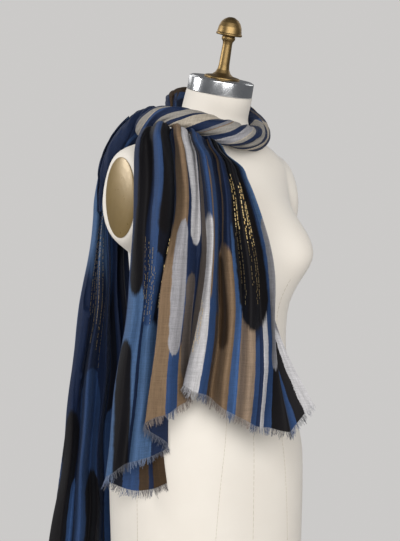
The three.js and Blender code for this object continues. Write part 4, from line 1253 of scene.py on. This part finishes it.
def roll_pieces():
    end = len(LOOP) - 1
    roll_piece("scarf_neck_roll", LOOP, (LOOP_CUT, end), 1.3, (150, 130), ROLL_STRIPES,
               (0.17, 0.33), 9.0, ("end",))
    roll_piece("scarf_nape_roll", LOOP, (0, LOOP_CUT - ROLL_GAP), 1.3, (100, 110),
               NAPE_SHADED_STRIPES, (0.18, 0.26), 2.0, ("start",))
    thinner = [row[:3] + (row[3] * SHOULDER_SHARE, row[4] * SHOULDER_SHARE) + row[5:]
               for row in ROLL_SHOULDER + SHOULDER_END]
    roll_piece("scarf_shoulder_roll", thinner, (0, len(thinner) - 1), 1.1, (110, 90),
               SHOULDER_STRIPES, (0.14, 0.19), 0.0, ("start",))


# Light and camera

def lights():
    for name, azimuth, elevation, distance, size, power in LAMPS:
        a, e = math.radians(azimuth), math.radians(elevation)
        way = Vector((math.sin(a) * math.cos(e), -math.cos(a) * math.cos(e), math.sin(e)))
        lamp = bpy.data.lights.new(name, "AREA")
        lamp.size = size
        lamp.energy = power
        lamp.color = LAMP_COLOR
        holder = placed_object(name, lamp)
        holder.location = Vector(LAMP_AIM) + way * distance
        holder.rotation_euler = way.to_track_quat("Z", "Y").to_euler()


def surroundings():
    """A dim even light from all sides, and plain paper behind the object."""
    world = bpy.data.worlds.new("studio")
    world.use_nodes = True
    tree = world.node_tree
    sky = tree.nodes["Background"]
    sky.inputs[0].default_value = SKY_COLOR
    sky.inputs[1].default_value = SKY_STRENGTH
    paper = tree.nodes.new("ShaderNodeBackground")
    paper.inputs[0].default_value = PAPER
    choice = tree.nodes.new("ShaderNodeMixShader")
    rays = tree.nodes.new("ShaderNodeLightPath")
    tree.links.new(rays.outputs["Is Camera Ray"], choice.inputs[0])
    tree.links.new(sky.outputs[0], choice.inputs[1])
    tree.links.new(paper.outputs[0], choice.inputs[2])
    tree.links.new(choice.outputs[0], tree.nodes["World Output"].inputs[0])
    bpy.context.scene.world = world


def floor():
    """A round pale floor, small enough to stay out of the picture's upper part."""
    angle = np.arange(FLOOR_SIDES) * 2 * math.pi / FLOOR_SIDES
    verts = [(FLOOR_RADIUS * math.cos(a), FLOOR_RADIUS * math.sin(a), FLOOR_Z) for a in angle]
    mesh = bpy.data.meshes.new("floor")
    mesh.from_pydata(verts, [], [tuple(range(FLOOR_SIDES))])
    nodes = Nodes("pale_floor")
    nodes.set(Base_Color=PAPER, Roughness=0.8, Specular_IOR_Level=0.2)
    mesh.materials.append(nodes.material)
    placed_object("floor", mesh)


def camera():
    lens = bpy.data.cameras.new("camera")
    lens.sensor_width = SENSOR
    lens.lens = SENSOR * CAMERA_DISTANCE / FRAME_TALL
    lens.clip_end = 50
    holder = placed_object("camera", lens)
    c, s = math.cos(CAMERA_AZIMUTH), math.sin(CAMERA_AZIMUTH)
    x = s * CAMERA_DISTANCE + c * CAMERA_ASIDE
    y = -c * CAMERA_DISTANCE + s * CAMERA_ASIDE
    holder.location = (x, y, CAMERA_HEIGHT)
    holder.rotation_euler = (math.pi / 2, 0, CAMERA_AZIMUTH)
    bpy.context.scene.camera = holder


def main():
    metals = {name: metal(name, *look) for name, look in METALS.items()}
    form_piece()
    form_seams(linen_cloth("seam_thread", *SEAM_THREAD))
    neck_top_pieces(metals["steel"], metals["brass"])
    armhole_plates(metals["plate_gloss"])
    stand_pieces(metals["steel"], metals["iron"])
    fall_pieces(metals["gold_thread"])
    tail_pieces(metals["gold_thread"])
    roll_pieces()
    floor()
    lights()
    surroundings()
    camera()
    bpy.context.scene.view_settings.view_transform = "Standard"


main()
